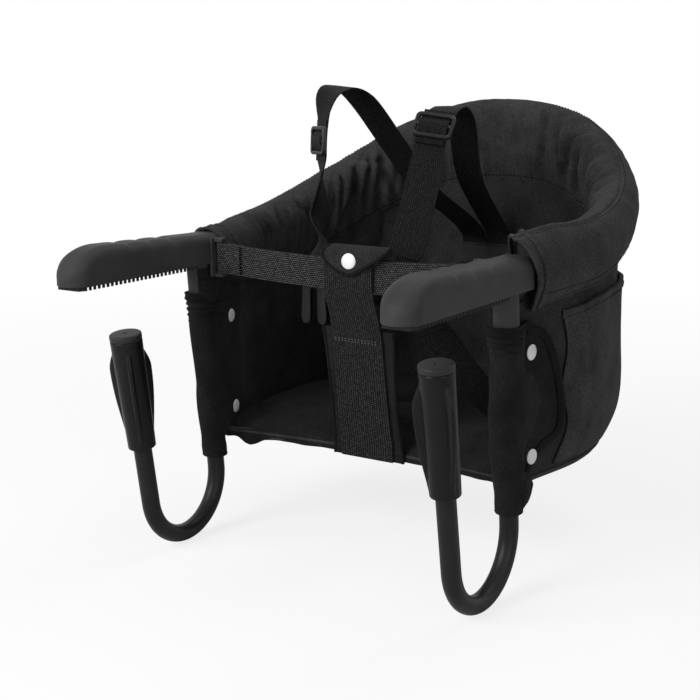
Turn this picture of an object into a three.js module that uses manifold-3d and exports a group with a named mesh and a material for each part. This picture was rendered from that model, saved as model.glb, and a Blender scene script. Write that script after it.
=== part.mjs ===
// Hook-on table chair: a fabric baby seat on a bent tube hoop. Two moulded arms rest on the
// table top, and two J-shaped hooks reach under it with twist grips that screw up against it.
// Millimetres, +Z up, +X to the sitter's left hand, -Y towards the table.
// The origin is on the table top, midway between the two hook uprights.
// Left and right in the names are as seen from the table: the left side is at -X.
import * as THREE from 'three';
import { mergeVertices } from 'three/addons/utils/BufferGeometryUtils.js';
import Module from 'manifold-3d';

const wasm = await Module();
wasm.setup();

// Frame tubes
const GAP = 0.3;
const TUBE_OD = 18;
const TUBE_WALL = 1.5;
const UPRIGHT_SPACING = 347;
const HOOP_WIDTH = 390;
const HOOP_SIDE_END_Y = 130;
const HOOP_BACK_Y = 350;
const HOOP_FRONT_Z = 18.5;
const HOOP_RISE = 121;
const HOOP_RISE_POWER = 2.6;
const HOOP_SQUARENESS = 0.85;
const HOOP_INSERT = 128;

// Arms
const ARM_WIDTH = 36;
const ARM_TIP_Y = -190;
const ARM_REAR_Y = 22;
const ARM_UNDERSIDE_Z = 3.5;
const ARM_TOP_Z = 38;
const ARM_REAR_DROP = 4.5;
const ARM_NOSE_LENGTH = 46;
const ARM_EDGE_RADIUS = 11;
const SCALLOP_COUNT = 4;
const SCALLOP_LENGTH = 30;
const SCALLOP_DEPTH = 1.3;
const PAD_WIDTH = 30;
const PAD_FRONT_Y = -184;
const PAD_REAR_Y = -22;
const PAD_RECESS = 3.5;
const PAD_RIBS = 27;
const PAD_RIB_HEIGHT = 2;
const PAD_LIP = 4;

// Hooks
const HOOK_LEAN = 4.88;
const HOOK_TOE_IN = 1.15;
const HOOK_OPENING = 3.71;
const HOOK_STRAIGHT = 217.5;
const HOOK_BEND_RADIUS = 53.5;
const HOOK_LEG = 104;
const HOOK_TOP = 7;
const SOCKET_WALL = 3.5;
const SOCKET_LENGTH = 28;
const GUSSET_THICKNESS = 6;
const GUSSET_REACH = 11;
const HOOK_PLUG_LENGTH = 22;
const BOLT_DIAMETER = 6;
const BOLT_HEAD_DIAMETER = 12;
const BOLT_HEAD_HEIGHT = 3.4;
const BOLT_SEAT_Z = 28.8;
const BOLT_LENGTH = 40;

// Twist grips
const GRIP_LENGTH = 112;
const GRIP_BOTTOM_DIAMETER = 27.4;
const GRIP_TOP_DIAMETER = 31.2;
const GRIP_FIN_COUNT = 3;
const GRIP_FIN_TIP_RADIUS = 22.5;
const GRIP_FIN_FOOT = 3;
const GRIP_FIN_CREST = 79;
const GRIP_FIN_HEAD = 102;
const GRIP_HEIGHT = { right: 74, left: 62.5 };
const GRIP_TURN = { right: 30, left: -33 };
const NUT_SEAT = 53;
const NUT_HEIGHT = 12;
const NUT_DIAMETER = 22;
const SPINDLE_DIAMETER = 15;
const SPINDLE_LENGTH = 53;
const SPINDLE_PLUG = 20;
const FOOT_THICKNESS = 6;
const FOOT_SPIGOT = 6;

// Padded rim and sewn seat
const RIM_HALF_WIDTH = 23;
const RIM_HALF_HEIGHT = 25;
const RIM_HANG = 3;
const WALL = 6;
const WALL_FRONT_Y = 32;
const SEAT_WIDTH = 402;
const SEAT_SIDE_END_Y = 140;
const SEAT_BACK_Y = 334;
const SEAT_SQUARENESS = 0.8;
const FLOOR_WIDTH = 374;
const FLOOR_BACK_Y = 313;
const FLOOR_SQUARENESS = 0.85;
const TUCK_HEIGHT = 55;
const SEAT_TOP_Z = -180;
const BASE_THICKNESS = 7.5;
const BASE_FRONT_BOW = 18;
const BOARD_THICKNESS = 3;
const PAD_THICKNESS = 18;
const SLEEVE_WALL = 2.2;
const SLEEVE_END = 205;
const FLAP = 2.5;
const FLAP_TOP_Z = -32;
const FLAP_BOTTOM_Z = -176;
const FLAP_REACH = 56;
const POCKET_FRONT_Y = 96;
const POCKET_TOP_Z = -16;
const POCKET_BOTTOM_Z = -174;
const POCKET_CLOTH = 2.5;
const POCKET_BULGE = 2.4;

// Belt, crotch strap and snaps
const BELT_HEIGHT = 30;
const BELT_CLOTH = 1.8;
const BELT_Y = 3;
const BELT_END_Z = 10;
const BELT_SAG = 5.5;
const BELT_LOOP = 28;
const BELT_BAR_DIAMETER = 5;
const BELT_BAR_INSET = 9.5;
const BRACKET_PLATE = 3;
const BRACKET_ARM = 3.4;
const BRACKET_DEPTH = 14;
const STRAP_WIDTH = 54;
const STRAP_CLOTH = 2.2;
const STRAP_TOP_Z = 27;
const STRAP_TOP_X = 9.5;
const STRAP_FOOT_X = 3;
const STRAP_LEAN = [[0, 0], [0.1, 0.2], [0.29, 0.45], [0.48, 0.57], [0.66, 0.7], [0.85, 0.85], [1, 1]];
const PANEL_WIDTH = 80;
const PANEL_TOP_Z = -51;
const TAB_WIDTH = 74;
const TAB_X = 17;
const TAB_SNAP_X = 14;
const TAB_CLOTH = 2;
const TAB_TOP_Z = 33;
const TAB_FRONT_Z = 6;
const TAB_BACK_Z = -8;
const TAB_SNAP_Z = 19;
const SNAP_DIAMETER = 15;
const SNAP_CAP = 1.5;
const SNAP_SOCKET_DIAMETER = 7;
const SNAP_POST_DIAMETER = 4.4;
const SNAP_UPPER = { y: 43, z: -58 };
const SNAP_LOWER = { y: 48, z: -158 };

// Harness webbing
const HARNESS_WIDTH = 30;
const HARNESS_CLOTH = 1.6;
const HARNESS_SPREAD = 16;
const HARNESS_SEAM_X = -17;
const HARNESS_SEAM_Z = -18;
const HARNESS_WALL_SLOPE = 0.05;
const SLIDER_SPOT = { left: { step: 19, steps: 26 }, right: { step: 15, steps: 22 } };
const SLIDER_WIDTH = 40;
const SLIDER_HEIGHT = 28;
const SLIDER_THICKNESS = 4.4;
const SLIDER_BAR = 3.2;
const CLIP_WIDTH = 28;
const CLIP_LENGTH = 40;
const CLIP_THICKNESS = 6;

// Values that follow from the ones above
const TUBE_R = TUBE_OD / 2;
const TUBE_BORE_R = TUBE_R - TUBE_WALL;
const BORE_R = TUBE_R + GAP;
const UPRIGHT_X = UPRIGHT_SPACING / 2;
const ARM_INNER_X = UPRIGHT_X - ARM_WIDTH / 2;
const RIM_BOTTOM = RIM_HALF_HEIGHT + RIM_HANG;
const FLAP_INNER = WALL / 2 + 2 * GAP;
const SOCKET_R = BORE_R + SOCKET_WALL;
const SPINDLE_R = SPINDLE_DIAMETER / 2;
const NUT_R = NUT_DIAMETER / 2;
const LEAN = THREE.MathUtils.degToRad(HOOK_LEAN);
const TOE_IN = THREE.MathUtils.degToRad(HOOK_TOE_IN);
const OPENING = THREE.MathUtils.degToRad(HOOK_OPENING);
const SIDES = [['left', -1], ['right', 1]];
const ROUND = 14;
const TUBE_SIDES = 12;

const V = (x, y, z) => new THREE.Vector3(x, y, z);
const lerp = THREE.MathUtils.lerp;
const chair = new THREE.Group();

// Materials
function finish(color, roughness, metalness = 0) {
  return new THREE.MeshStandardMaterial({ color, roughness, metalness });
}
const paintedTube = () => finish(0x2b2c2e, 0.45, 0.3);
const mouldedPlastic = () => finish(0x3a3b3d, 0.6);
const gripPlastic = () => finish(0x2d2e30, 0.5);
const blackRubber = () => finish(0x161617, 0.85);
const zincSteel = () => finish(0xb5b7ba, 0.35, 0.9);
const brassMetal = () => finish(0xb08d4c, 0.4, 0.9);
const snapMetal = () => finish(0xd9dadb, 0.3, 0.8);
const blackCloth = () => finish(0x1b1b1d, 0.95);
const blackWebbing = () => finish(0x202022, 0.9);
const boardPlastic = () => finish(0x3a3a3a, 0.7);

// Closed-solid helpers

// Joins coincident vertices and drops triangles that have closed up at a pole or a seam.
function weld(geometry) {
  const bare = new THREE.BufferGeometry();
  bare.setAttribute('position', geometry.getAttribute('position').clone());
  if (geometry.index) bare.setIndex(geometry.index.clone());
  const merged = mergeVertices(bare, 1e-4);
  const kept = [];
  const index = merged.index.array;
  for (let i = 0; i < index.length; i += 3) {
    const [a, b, c] = [index[i], index[i + 1], index[i + 2]];
    if (a !== b && b !== c && c !== a) kept.push(a, b, c);
  }
  merged.setIndex(kept);
  return merged;
}

// Builds an indexed solid and turns its faces outward.
function solid(points, triangles) {
  let volume = 0;
  for (const [a, b, c] of triangles) {
    volume += points[a].dot(V(0, 0, 0).crossVectors(points[b], points[c]));
  }
  const geometry = new THREE.BufferGeometry().setFromPoints(points);
  geometry.setIndex(triangles.flatMap(([a, b, c]) => (volume < 0 ? [a, c, b] : [a, b, c])));
  return weld(geometry);
}

// Skins a row of rings that have equal point counts and closes both ends with fans.
function loft(rings) {
  const count = rings[0].length;
  const points = rings.flat();
  const triangles = [];
  for (let r = 0; r + 1 < rings.length; r += 1) {
    for (let k = 0; k < count; k += 1) {
      const a = r * count + k;
      const b = r * count + (k + 1) % count;
      triangles.push([a, b, b + count], [a, b + count, a + count]);
    }
  }
  for (const [ring, start] of [[rings[0], 0], [rings.at(-1), points.length - count]]) {
    const centre = ring.reduce((sum, p) => sum.add(p), V(0, 0, 0)).divideScalar(count);
    const hub = points.length;
    points.push(centre);
    for (let k = 0; k < count; k += 1) {
      const a = start + k;
      const b = start + (k + 1) % count;
      triangles.push(start === 0 ? [b, a, hub] : [a, b, hub]);
    }
  }
  return solid(points, triangles);
}

// Skins an outer and an inner row of rings into a pipe with open ends.
function pipe(outer, inner) {
  const count = outer[0].length;
  const points = [...outer.flat(), ...inner.flat()];
  const shift = outer.length * count;
  const triangles = [];
  const quad = (a, b, c, d) => triangles.push([a, b, c], [a, c, d]);
  for (let k = 0; k < count; k += 1) {
    const n = (k + 1) % count;
    for (let r = 0; r + 1 < outer.length; r += 1) {
      const [i, j] = [r * count, (r + 1) * count];
      quad(i + k, i + n, j + n, j + k);
      quad(shift + i + n, shift + i + k, shift + j + k, shift + j + n);
    }
    const last = (outer.length - 1) * count;
    quad(k, shift + k, shift + n, n);
    quad(last + n, shift + last + n, shift + last + k, last + k);
  }
  return solid(points, triangles);
}

// Thickens a surface: at(u, v) gives a point on it and across(u, v) the vector through its cloth.
function sheet(nu, nv, at, across) {
  const front = [];
  const back = [];
  for (let i = 0; i <= nu; i += 1) {
    for (let j = 0; j <= nv; j += 1) {
      const half = across(i / nu, j / nv).multiplyScalar(0.5);
      front.push(at(i / nu, j / nv).add(half));
      back.push(at(i / nu, j / nv).sub(half));
    }
  }
  const shift = front.length;
  const triangles = [];
  const quad = (a, b, c, d) => triangles.push([a, b, c], [a, c, d]);
  const id = (i, j) => i * (nv + 1) + j;
  for (let i = 0; i < nu; i += 1) {
    for (let j = 0; j < nv; j += 1) {
      quad(id(i, j), id(i + 1, j), id(i + 1, j + 1), id(i, j + 1));
      quad(shift + id(i, j), shift + id(i, j + 1), shift + id(i + 1, j + 1), shift + id(i + 1, j));
    }
    quad(id(i, 0), shift + id(i, 0), shift + id(i + 1, 0), id(i + 1, 0));
    quad(id(i, nv), id(i + 1, nv), shift + id(i + 1, nv), shift + id(i, nv));
  }
  for (let j = 0; j < nv; j += 1) {
    quad(id(0, j), id(0, j + 1), shift + id(0, j + 1), shift + id(0, j));
    quad(id(nu, j), shift + id(nu, j), shift + id(nu, j + 1), id(nu, j + 1));
  }
  return solid([...front, ...back], triangles);
}

// A curve known at chosen stations, so that straight runs need no steps of their own.
class StationCurve extends THREE.Curve {
  constructor(stations) {
    super();
    this.stations = stations;
  }

  station(u) {
    return this.stations[Math.round(u * (this.stations.length - 1))];
  }

  getPointAt(u) {
    return this.station(u).point.clone();
  }

  getTangentAt(u) {
    return this.station(u).tangent.clone();
  }
}

// A round tube with a bore, swept along stations.
function tube(stations) {
  const section = new THREE.Shape().absarc(0, 0, TUBE_R, 0, 2 * Math.PI, false);
  section.holes.push(new THREE.Path().absarc(0, 0, TUBE_BORE_R, 0, 2 * Math.PI, true));
  return weld(new THREE.ExtrudeGeometry(section, {
    steps: stations.length - 1,
    curveSegments: TUBE_SIDES / 2,
    extrudePath: new StationCurve(stations),
  }));
}

// A solid turned about Z from [radius, z] pairs that start and end on the axis.
function turned(profile, segments = ROUND) {
  const lathe = new THREE.LatheGeometry(profile.map(([r, z]) => new THREE.Vector2(r, z)), segments);
  lathe.rotateX(Math.PI / 2);
  return weld(lathe);
}

// A hollow sleeve about Z: its profile closes on itself away from the axis.
function ring(innerR, outerR, bottom, top, segments = ROUND) {
  const corners = [[innerR, bottom], [outerR, bottom], [outerR, top], [innerR, top], [innerR, bottom]];
  return turned(corners, segments);
}

function peg(radius, bottom, top, segments = ROUND) {
  return turned([[0, bottom], [radius, bottom], [radius, top], [0, top]], segments);
}

function box(x0, x1, y0, y1, z0, z1) {
  const block = new THREE.BoxGeometry(Math.abs(x1 - x0), y1 - y0, z1 - z0);
  return weld(block.translate((x0 + x1) / 2, (y0 + y1) / 2, (z0 + z1) / 2));
}

function manifold(geometry) {
  const welded = weld(geometry);
  const position = welded.getAttribute('position').array;
  return new wasm.Manifold(new wasm.Mesh({
    numProp: 3,
    vertProperties: new Float32Array(position),
    triVerts: new Uint32Array(welded.index.array),
  }));
}

// Adds and then cuts away other solids.
function combine(base, { add = [], cut = [] }) {
  let result = manifold(base);
  for (const piece of add) result = result.add(manifold(piece));
  for (const piece of cut) result = result.subtract(manifold(piece));
  const mesh = result.getMesh();
  const geometry = new THREE.BufferGeometry();
  geometry.setAttribute('position', new THREE.BufferAttribute(new Float32Array(mesh.vertProperties), 3));
  geometry.setIndex(Array.from(mesh.triVerts));
  return geometry;
}

function place(parent, name, geometry, material) {
  const mesh = new THREE.Mesh(geometry, material);
  mesh.geometry.computeVertexNormals();
  mesh.name = name;
  parent.add(mesh);
  return mesh;
}

// Hoop and seat outlines

// Plan of a U open to the front: straight sides that splay out, then a rounded back.
function planU(width, sideEndY, backY, squareness, frontX, frontY) {
  const SIDE_SHARE = 0.22;
  return (s) => {
    const side = s < 0.5 ? 1 : -1;
    const t = Math.min(s, 1 - s);
    if (t <= SIDE_SHARE) {
      const k = t / SIDE_SHARE;
      const splay = THREE.MathUtils.smoothstep(k, 0, 1);
      return new THREE.Vector2(side * lerp(frontX, width / 2, splay), lerp(frontY, sideEndY, k));
    }
    const angle = ((t - SIDE_SHARE) / (0.5 - SIDE_SHARE)) * (Math.PI / 2);
    const x = (width / 2) * Math.cos(angle) ** squareness;
    const y = sideEndY + (backY - sideEndY) * Math.sin(angle) ** squareness;
    return new THREE.Vector2(side * Math.max(x, 0), y);
  };
}

const hoopPlan = planU(
  HOOP_WIDTH, HOOP_SIDE_END_Y, HOOP_BACK_Y, HOOP_SQUARENESS, UPRIGHT_X, ARM_REAR_Y,
);
const seatPlan = planU(
  SEAT_WIDTH, SEAT_SIDE_END_Y, SEAT_BACK_Y, SEAT_SQUARENESS, UPRIGHT_X, WALL_FRONT_Y,
);
const floorPlan = planU(
  FLOOR_WIDTH, SEAT_SIDE_END_Y, FLOOR_BACK_Y, FLOOR_SQUARENESS, UPRIGHT_X, WALL_FRONT_Y,
);
const rimPlan = planU(
  HOOP_WIDTH, HOOP_SIDE_END_Y, HOOP_BACK_Y, HOOP_SQUARENESS, UPRIGHT_X, WALL_FRONT_Y,
);

function hoopHeight(y) {
  const k = THREE.MathUtils.clamp((y - ARM_REAR_Y) / (HOOP_BACK_Y - ARM_REAR_Y), 0, 1);
  return HOOP_FRONT_Z + HOOP_RISE * k ** HOOP_RISE_POWER;
}

function hoopPoint(s) {
  const p = hoopPlan(s);
  return V(p.x, p.y, hoopHeight(p.y));
}

function hoopTangent(s) {
  const step = 0.004;
  const ahead = hoopPoint(Math.min(s + step, 1));
  const behind = hoopPoint(Math.max(s - step, 0));
  return ahead.sub(behind).normalize();
}

// Outward horizontal normal of a plan curve.
function planNormal(plan, s) {
  const step = 0.004;
  const d = plan(Math.min(s + step, 1)).sub(plan(Math.max(s - step, 0)));
  return V(d.y, -d.x, 0).normalize();
}

// The middle of the seat wall, from the seat to just under the rim. Its foot tucks in to the seat's
// outline in straight steps, which the sheets on it share.
const TUCK_STEPS = 4;
const tuckZ = (step) => SEAT_TOP_Z + GAP + (TUCK_HEIGHT * step) / TUCK_STEPS;

function tuckShare(z) {
  const step = THREE.MathUtils.clamp(((z - SEAT_TOP_Z - GAP) / TUCK_HEIGHT) * TUCK_STEPS, 0, TUCK_STEPS);
  const whole = Math.min(Math.floor(step), TUCK_STEPS - 1);
  const share = (i) => (1 - i / TUCK_STEPS) ** 2;
  return lerp(share(whole), share(whole + 1), step - whole);
}

function wallTopZ(s) {
  return hoopHeight(rimPlan(s).y) - RIM_BOTTOM - 2 * GAP;
}

function wallPoint(s, z) {
  const low = SEAT_TOP_Z + GAP;
  const k = (z - low) / (wallTopZ(s) - low);
  const p = seatPlan(s).lerp(rimPlan(s), k).lerp(floorPlan(s), tuckShare(z));
  return V(p.x, p.y, z);
}

function wallNormal(s) {
  return planNormal(seatPlan, s).lerp(planNormal(rimPlan, s), 0.5).normalize();
}

// Finds the place along one side of the wall that lies at a given y, at a given height.
function wallParameter(side, y, z) {
  let [low, high] = [0, 0.5];
  for (let i = 0; i < 30; i += 1) {
    const middle = (low + high) / 2;
    if (wallPoint(middle, z).y < y) low = middle;
    else high = middle;
  }
  return side > 0 ? low : 1 - low;
}

// Axis helpers for the leaning hooks: local Z runs up the upright.
function onUpright(geometry) {
  return geometry.rotateX(LEAN);
}

function uprightY(z) {
  return -Math.tan(LEAN) * z;
}

// Hoop tube

const HOOP_STEPS = 32;
function hoopStations() {
  const forward = V(0, -1, 0);
  const stations = [{ point: V(UPRIGHT_X, ARM_REAR_Y - HOOP_INSERT, HOOP_FRONT_Z), tangent: V(0, 1, 0) }];
  for (let i = 0; i <= HOOP_STEPS; i += 1) {
    stations.push({ point: hoopPoint(i / HOOP_STEPS), tangent: hoopTangent(i / HOOP_STEPS) });
  }
  stations[1].tangent = V(0, 1, 0);
  stations[stations.length - 1].tangent = forward.clone();
  stations.push({ point: V(-UPRIGHT_X, ARM_REAR_Y - HOOP_INSERT, HOOP_FRONT_Z), tangent: forward });
  return stations;
}

function boltBore(x) {
  const bore = peg(BOLT_DIAMETER / 2 + GAP, HOOK_TOP - 20, BOLT_SEAT_Z + 20);
  return onUpright(bore).translate(x, 0, 0);
}

place(
  chair,
  'hoop_tube',
  combine(tube(hoopStations()), { cut: SIDES.map(([, side]) => boltBore(side * UPRIGHT_X)) }),
  paintedTube(),
);

// Arms: a moulded cover with finger scallops along its top and a bull nose

const PAD_TOP_Z = ARM_UNDERSIDE_Z + PAD_RECESS;

function armTop(y) {
  const fall = ARM_REAR_DROP * THREE.MathUtils.clamp((y - ARM_TIP_Y - ARM_NOSE_LENGTH) / 140, 0, 1);
  const start = ARM_TIP_Y + ARM_NOSE_LENGTH;
  const along = (y - start) / SCALLOP_LENGTH;
  const between = along > 0.5 && along < SCALLOP_COUNT - 0.5;
  const scallop = between ? SCALLOP_DEPTH * (1 - Math.abs(Math.sin(Math.PI * along))) : 0;
  if (y >= start) return ARM_TOP_Z - fall - scallop;
  const k = (start - y) / ARM_NOSE_LENGTH;
  const nose = Math.sqrt(Math.max(0, 1 - k * k));
  return ARM_UNDERSIDE_Z + 4 + (ARM_TOP_Z - ARM_UNDERSIDE_Z - 4) * nose;
}

function armHalfWidth(y) {
  const round = ARM_WIDTH / 2;
  const k = Math.max(0, ARM_TIP_Y + round - y) / round;
  return Math.max(5, round * Math.sqrt(Math.max(0, 1 - k * k)));
}

function armSection(y) {
  const half = armHalfWidth(y);
  const top = armTop(y);
  const edge = Math.min(ARM_EDGE_RADIUS, half * 0.7, (top - ARM_UNDERSIDE_Z) * 0.8);
  const points = [V(half - 1, y, ARM_UNDERSIDE_Z), V(half, y, ARM_UNDERSIDE_Z + 1)];
  for (let i = 0; i <= 3; i += 1) {
    const a = (i / 3) * (Math.PI / 2);
    points.push(V(half - edge + edge * Math.cos(a), y, top - edge + edge * Math.sin(a)));
  }
  const mirrored = points.map((p) => V(-p.x, p.y, p.z)).reverse();
  return [...points, ...mirrored];
}

function armStations() {
  const nose = [0, 0.8, 3.5, 8.5, 17, 30].map((d) => ARM_TIP_Y + d);
  const scallops = [];
  for (let i = 0; i <= SCALLOP_COUNT; i += 1) {
    for (const k of i < SCALLOP_COUNT ? [0, 0.25, 0.5, 0.75] : [0]) {
      scallops.push(ARM_TIP_Y + ARM_NOSE_LENGTH + (i + k) * SCALLOP_LENGTH);
    }
  }
  return [...nose, ...scallops, ARM_REAR_Y - GAP];
}

function armBody() {
  const shell = loft(armStations().map(armSection));
  const hoopBore = new THREE.CylinderGeometry(BORE_R, BORE_R, HOOP_INSERT + 20, ROUND);
  hoopBore.translate(0, ARM_REAR_Y + 20 - (HOOP_INSERT + 20 + GAP) / 2, HOOP_FRONT_Z);
  const padRecess = box(
    -PAD_WIDTH / 2 - GAP, PAD_WIDTH / 2 + GAP,
    PAD_FRONT_Y - GAP, PAD_REAR_Y + GAP,
    ARM_UNDERSIDE_Z - 5, PAD_TOP_Z + GAP,
  );
  const hookBore = onUpright(peg(BORE_R, -30, HOOK_TOP + GAP));
  const headBore = onUpright(peg(BOLT_HEAD_DIAMETER / 2 + GAP, BOLT_SEAT_Z, ARM_TOP_Z + 10));
  return combine(shell, { cut: [hoopBore, padRecess, hookBore, headBore, boltBore(0)] });
}

// The ribbed sole: its outline seen from the side, drawn across the arm.
function armPad() {
  const outline = new THREE.Shape();
  const length = PAD_REAR_Y - PAD_FRONT_Y - PAD_LIP;
  const pitch = length / PAD_RIBS;
  outline.moveTo(PAD_REAR_Y, PAD_TOP_Z);
  outline.lineTo(PAD_FRONT_Y, PAD_TOP_Z);
  outline.lineTo(PAD_FRONT_Y, 0);
  outline.lineTo(PAD_FRONT_Y + PAD_LIP, 0);
  for (let i = 0; i < PAD_RIBS; i += 1) {
    const y = PAD_FRONT_Y + PAD_LIP + i * pitch;
    outline.lineTo(y + pitch * 0.1, PAD_RIB_HEIGHT);
    outline.lineTo(y + pitch * 0.4, PAD_RIB_HEIGHT);
    outline.lineTo(y + pitch * 0.5, 0);
    outline.lineTo(y + pitch, 0);
  }
  const strip = new THREE.ExtrudeGeometry(outline, { depth: PAD_WIDTH, bevelEnabled: false });
  strip.translate(0, 0, -PAD_WIDTH / 2);
  strip.applyMatrix4(new THREE.Matrix4().makeBasis(V(0, 1, 0), V(0, 0, 1), V(1, 0, 0)));
  return weld(strip);
}

// The socket that the hook turns in: a collar with a gusset behind it, cut off under the arm.
function socket() {
  const collar = onUpright(ring(BORE_R, SOCKET_R, -SOCKET_LENGTH, HOOK_TOP + 10));
  const profile = new THREE.Shape();
  const rear = uprightY(0) + SOCKET_R - 1;
  profile.moveTo(rear, HOOK_TOP + 10);
  profile.lineTo(rear + GUSSET_REACH - 1, HOOK_TOP + 10);
  profile.lineTo(rear + GUSSET_REACH - 1, ARM_UNDERSIDE_Z - 6);
  profile.lineTo(rear + 1.6, -SOCKET_LENGTH + 6);
  profile.lineTo(rear, -SOCKET_LENGTH + 6);
  const gusset = new THREE.ExtrudeGeometry(profile, { depth: GUSSET_THICKNESS, bevelEnabled: false });
  gusset.translate(0, 0, -GUSSET_THICKNESS / 2);
  gusset.applyMatrix4(new THREE.Matrix4().makeBasis(V(0, 1, 0), V(0, 0, 1), V(1, 0, 0)));
  const above = box(-40, 40, -60, 60, ARM_UNDERSIDE_Z - GAP, 60);
  return combine(collar, { add: [gusset], cut: [above] });
}

// The belt bracket on the inner face of the arm: a plate with a bar for the belt loop.
function beltBracket(side) {
  const outer = -side * (ARM_WIDTH / 2 + GAP);
  const inner = outer - side * BRACKET_PLATE;
  const barX = outer - side * BELT_BAR_INSET;
  const top = BELT_END_Z + BELT_HEIGHT / 2 + 1;
  const bottom = BELT_END_Z - BELT_HEIGHT / 2 - 1;
  const y0 = BELT_Y - BRACKET_DEPTH / 2;
  const y1 = BELT_Y + BRACKET_DEPTH / 2;
  const tip = barX - side * (BELT_BAR_DIAMETER / 2 + 0.8);
  const span = (a, b, ...rest) => box(Math.min(a, b), Math.max(a, b), ...rest);
  const plate = span(outer, inner, y0, y1, bottom - BRACKET_ARM, top + BRACKET_ARM);
  const upper = span(outer, tip, y0 + 3, y1 - 3, top, top + BRACKET_ARM);
  const lower = span(outer, tip, y0 + 3, y1 - 3, bottom - BRACKET_ARM, bottom);
  const bar = peg(BELT_BAR_DIAMETER / 2, bottom - 1, top + 1, 12).translate(barX, BELT_Y, 0);
  return combine(plate, { add: [upper, lower, bar] });
}

for (const [name, side] of SIDES) {
  const arm = new THREE.Group();
  arm.position.x = side * UPRIGHT_X;
  chair.add(arm);
  place(arm, `${name}_arm_body`, armBody(), mouldedPlastic());
  place(arm, `${name}_arm_pad`, armPad(), blackRubber());
  place(arm, `${name}_socket`, socket(), mouldedPlastic());
  place(arm, `${name}_belt_bracket`, beltBracket(side), mouldedPlastic());
}

// Hooks: each turns about its upright; local Z is up the upright and -Y towards the table

const LEG_FOOT = V(
  0,
  -HOOK_BEND_RADIUS * (1 + Math.cos(OPENING)),
  -HOOK_STRAIGHT - HOOK_BEND_RADIUS * Math.sin(OPENING),
);

function hookStations() {
  const BEND_STEPS = 12;
  const stations = [{ point: V(0, 0, HOOK_TOP), tangent: V(0, 0, -1) }];
  for (let i = 0; i <= BEND_STEPS; i += 1) {
    const a = (i / BEND_STEPS) * (Math.PI - OPENING);
    stations.push({
      point: V(0, -HOOK_BEND_RADIUS * (1 - Math.cos(a)), -HOOK_STRAIGHT - HOOK_BEND_RADIUS * Math.sin(a)),
      tangent: V(0, -Math.sin(a), -Math.cos(a)),
    });
  }
  return stations;
}

function gripFin(t) {
  if (t <= GRIP_FIN_FOOT || t >= GRIP_FIN_HEAD) return 0;
  const k = t < GRIP_FIN_CREST
    ? (t - GRIP_FIN_FOOT) / (GRIP_FIN_CREST - GRIP_FIN_FOOT)
    : (GRIP_FIN_HEAD - t) / (GRIP_FIN_HEAD - GRIP_FIN_CREST);
  return Math.sin(k * Math.PI / 2) ** 1.2;
}

function gripRadius(t) {
  const taper = lerp(GRIP_BOTTOM_DIAMETER, GRIP_TOP_DIAMETER, t / GRIP_LENGTH) / 2;
  const endRound = Math.min(t, GRIP_LENGTH - t);
  return endRound < 1 ? taper - 0.8 * (1 - endRound) : taper;
}

// A tapered sleeve with leaf-shaped fins, bored for the tube, the nut and the foot's spigot.
function grip() {
  const FIN_SHAPE = [[-36, 0], [-13, 0], [-8, 0.72], [-3.5, 1], [3.5, 1], [8, 0.72], [13, 0], [36, 0]];
  const levels = [0, 1, GRIP_FIN_FOOT, 20, 40, 60, GRIP_FIN_CREST, 90, 98, GRIP_FIN_HEAD];
  const rings = [...levels, GRIP_LENGTH - 1, GRIP_LENGTH].map((t) => {
    const points = [];
    for (let f = 0; f < GRIP_FIN_COUNT; f += 1) {
      for (const [degrees, share] of FIN_SHAPE) {
        const a = (f / GRIP_FIN_COUNT) * 2 * Math.PI + THREE.MathUtils.degToRad(degrees);
        const r = gripRadius(t) + share * gripFin(t) * (GRIP_FIN_TIP_RADIUS - gripRadius(t));
        points.push(V(r * Math.cos(a), r * Math.sin(a), t));
      }
    }
    return points;
  });
  const tubeBore = peg(BORE_R, -10, NUT_SEAT + 1);
  const nutBore = peg(NUT_R + GAP, NUT_SEAT, GRIP_LENGTH + 10);
  return combine(loft(rings), { cut: [tubeBore, nutBore] });
}

function spindle() {
  const plugR = TUBE_BORE_R - GAP;
  return turned([
    [0, HOOK_LEG - SPINDLE_PLUG],
    [plugR, HOOK_LEG - SPINDLE_PLUG],
    [plugR, HOOK_LEG + GAP],
    [SPINDLE_R, HOOK_LEG + GAP],
    [SPINDLE_R, HOOK_LEG + SPINDLE_LENGTH - 1.5],
    [SPINDLE_R - 1.5, HOOK_LEG + SPINDLE_LENGTH],
    [0, HOOK_LEG + SPINDLE_LENGTH],
  ]);
}

function footPad() {
  const rim = GRIP_TOP_DIAMETER / 2;
  const low = GRIP_LENGTH + GAP;
  const top = GRIP_LENGTH + FOOT_THICKNESS;
  return turned([
    [0, low - FOOT_SPIGOT],
    [NUT_R, low - FOOT_SPIGOT],
    [NUT_R, low],
    [rim, low],
    [rim, top - 1.2],
    [rim - 1.2, top],
    [0, top],
  ], 24);
}

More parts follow.
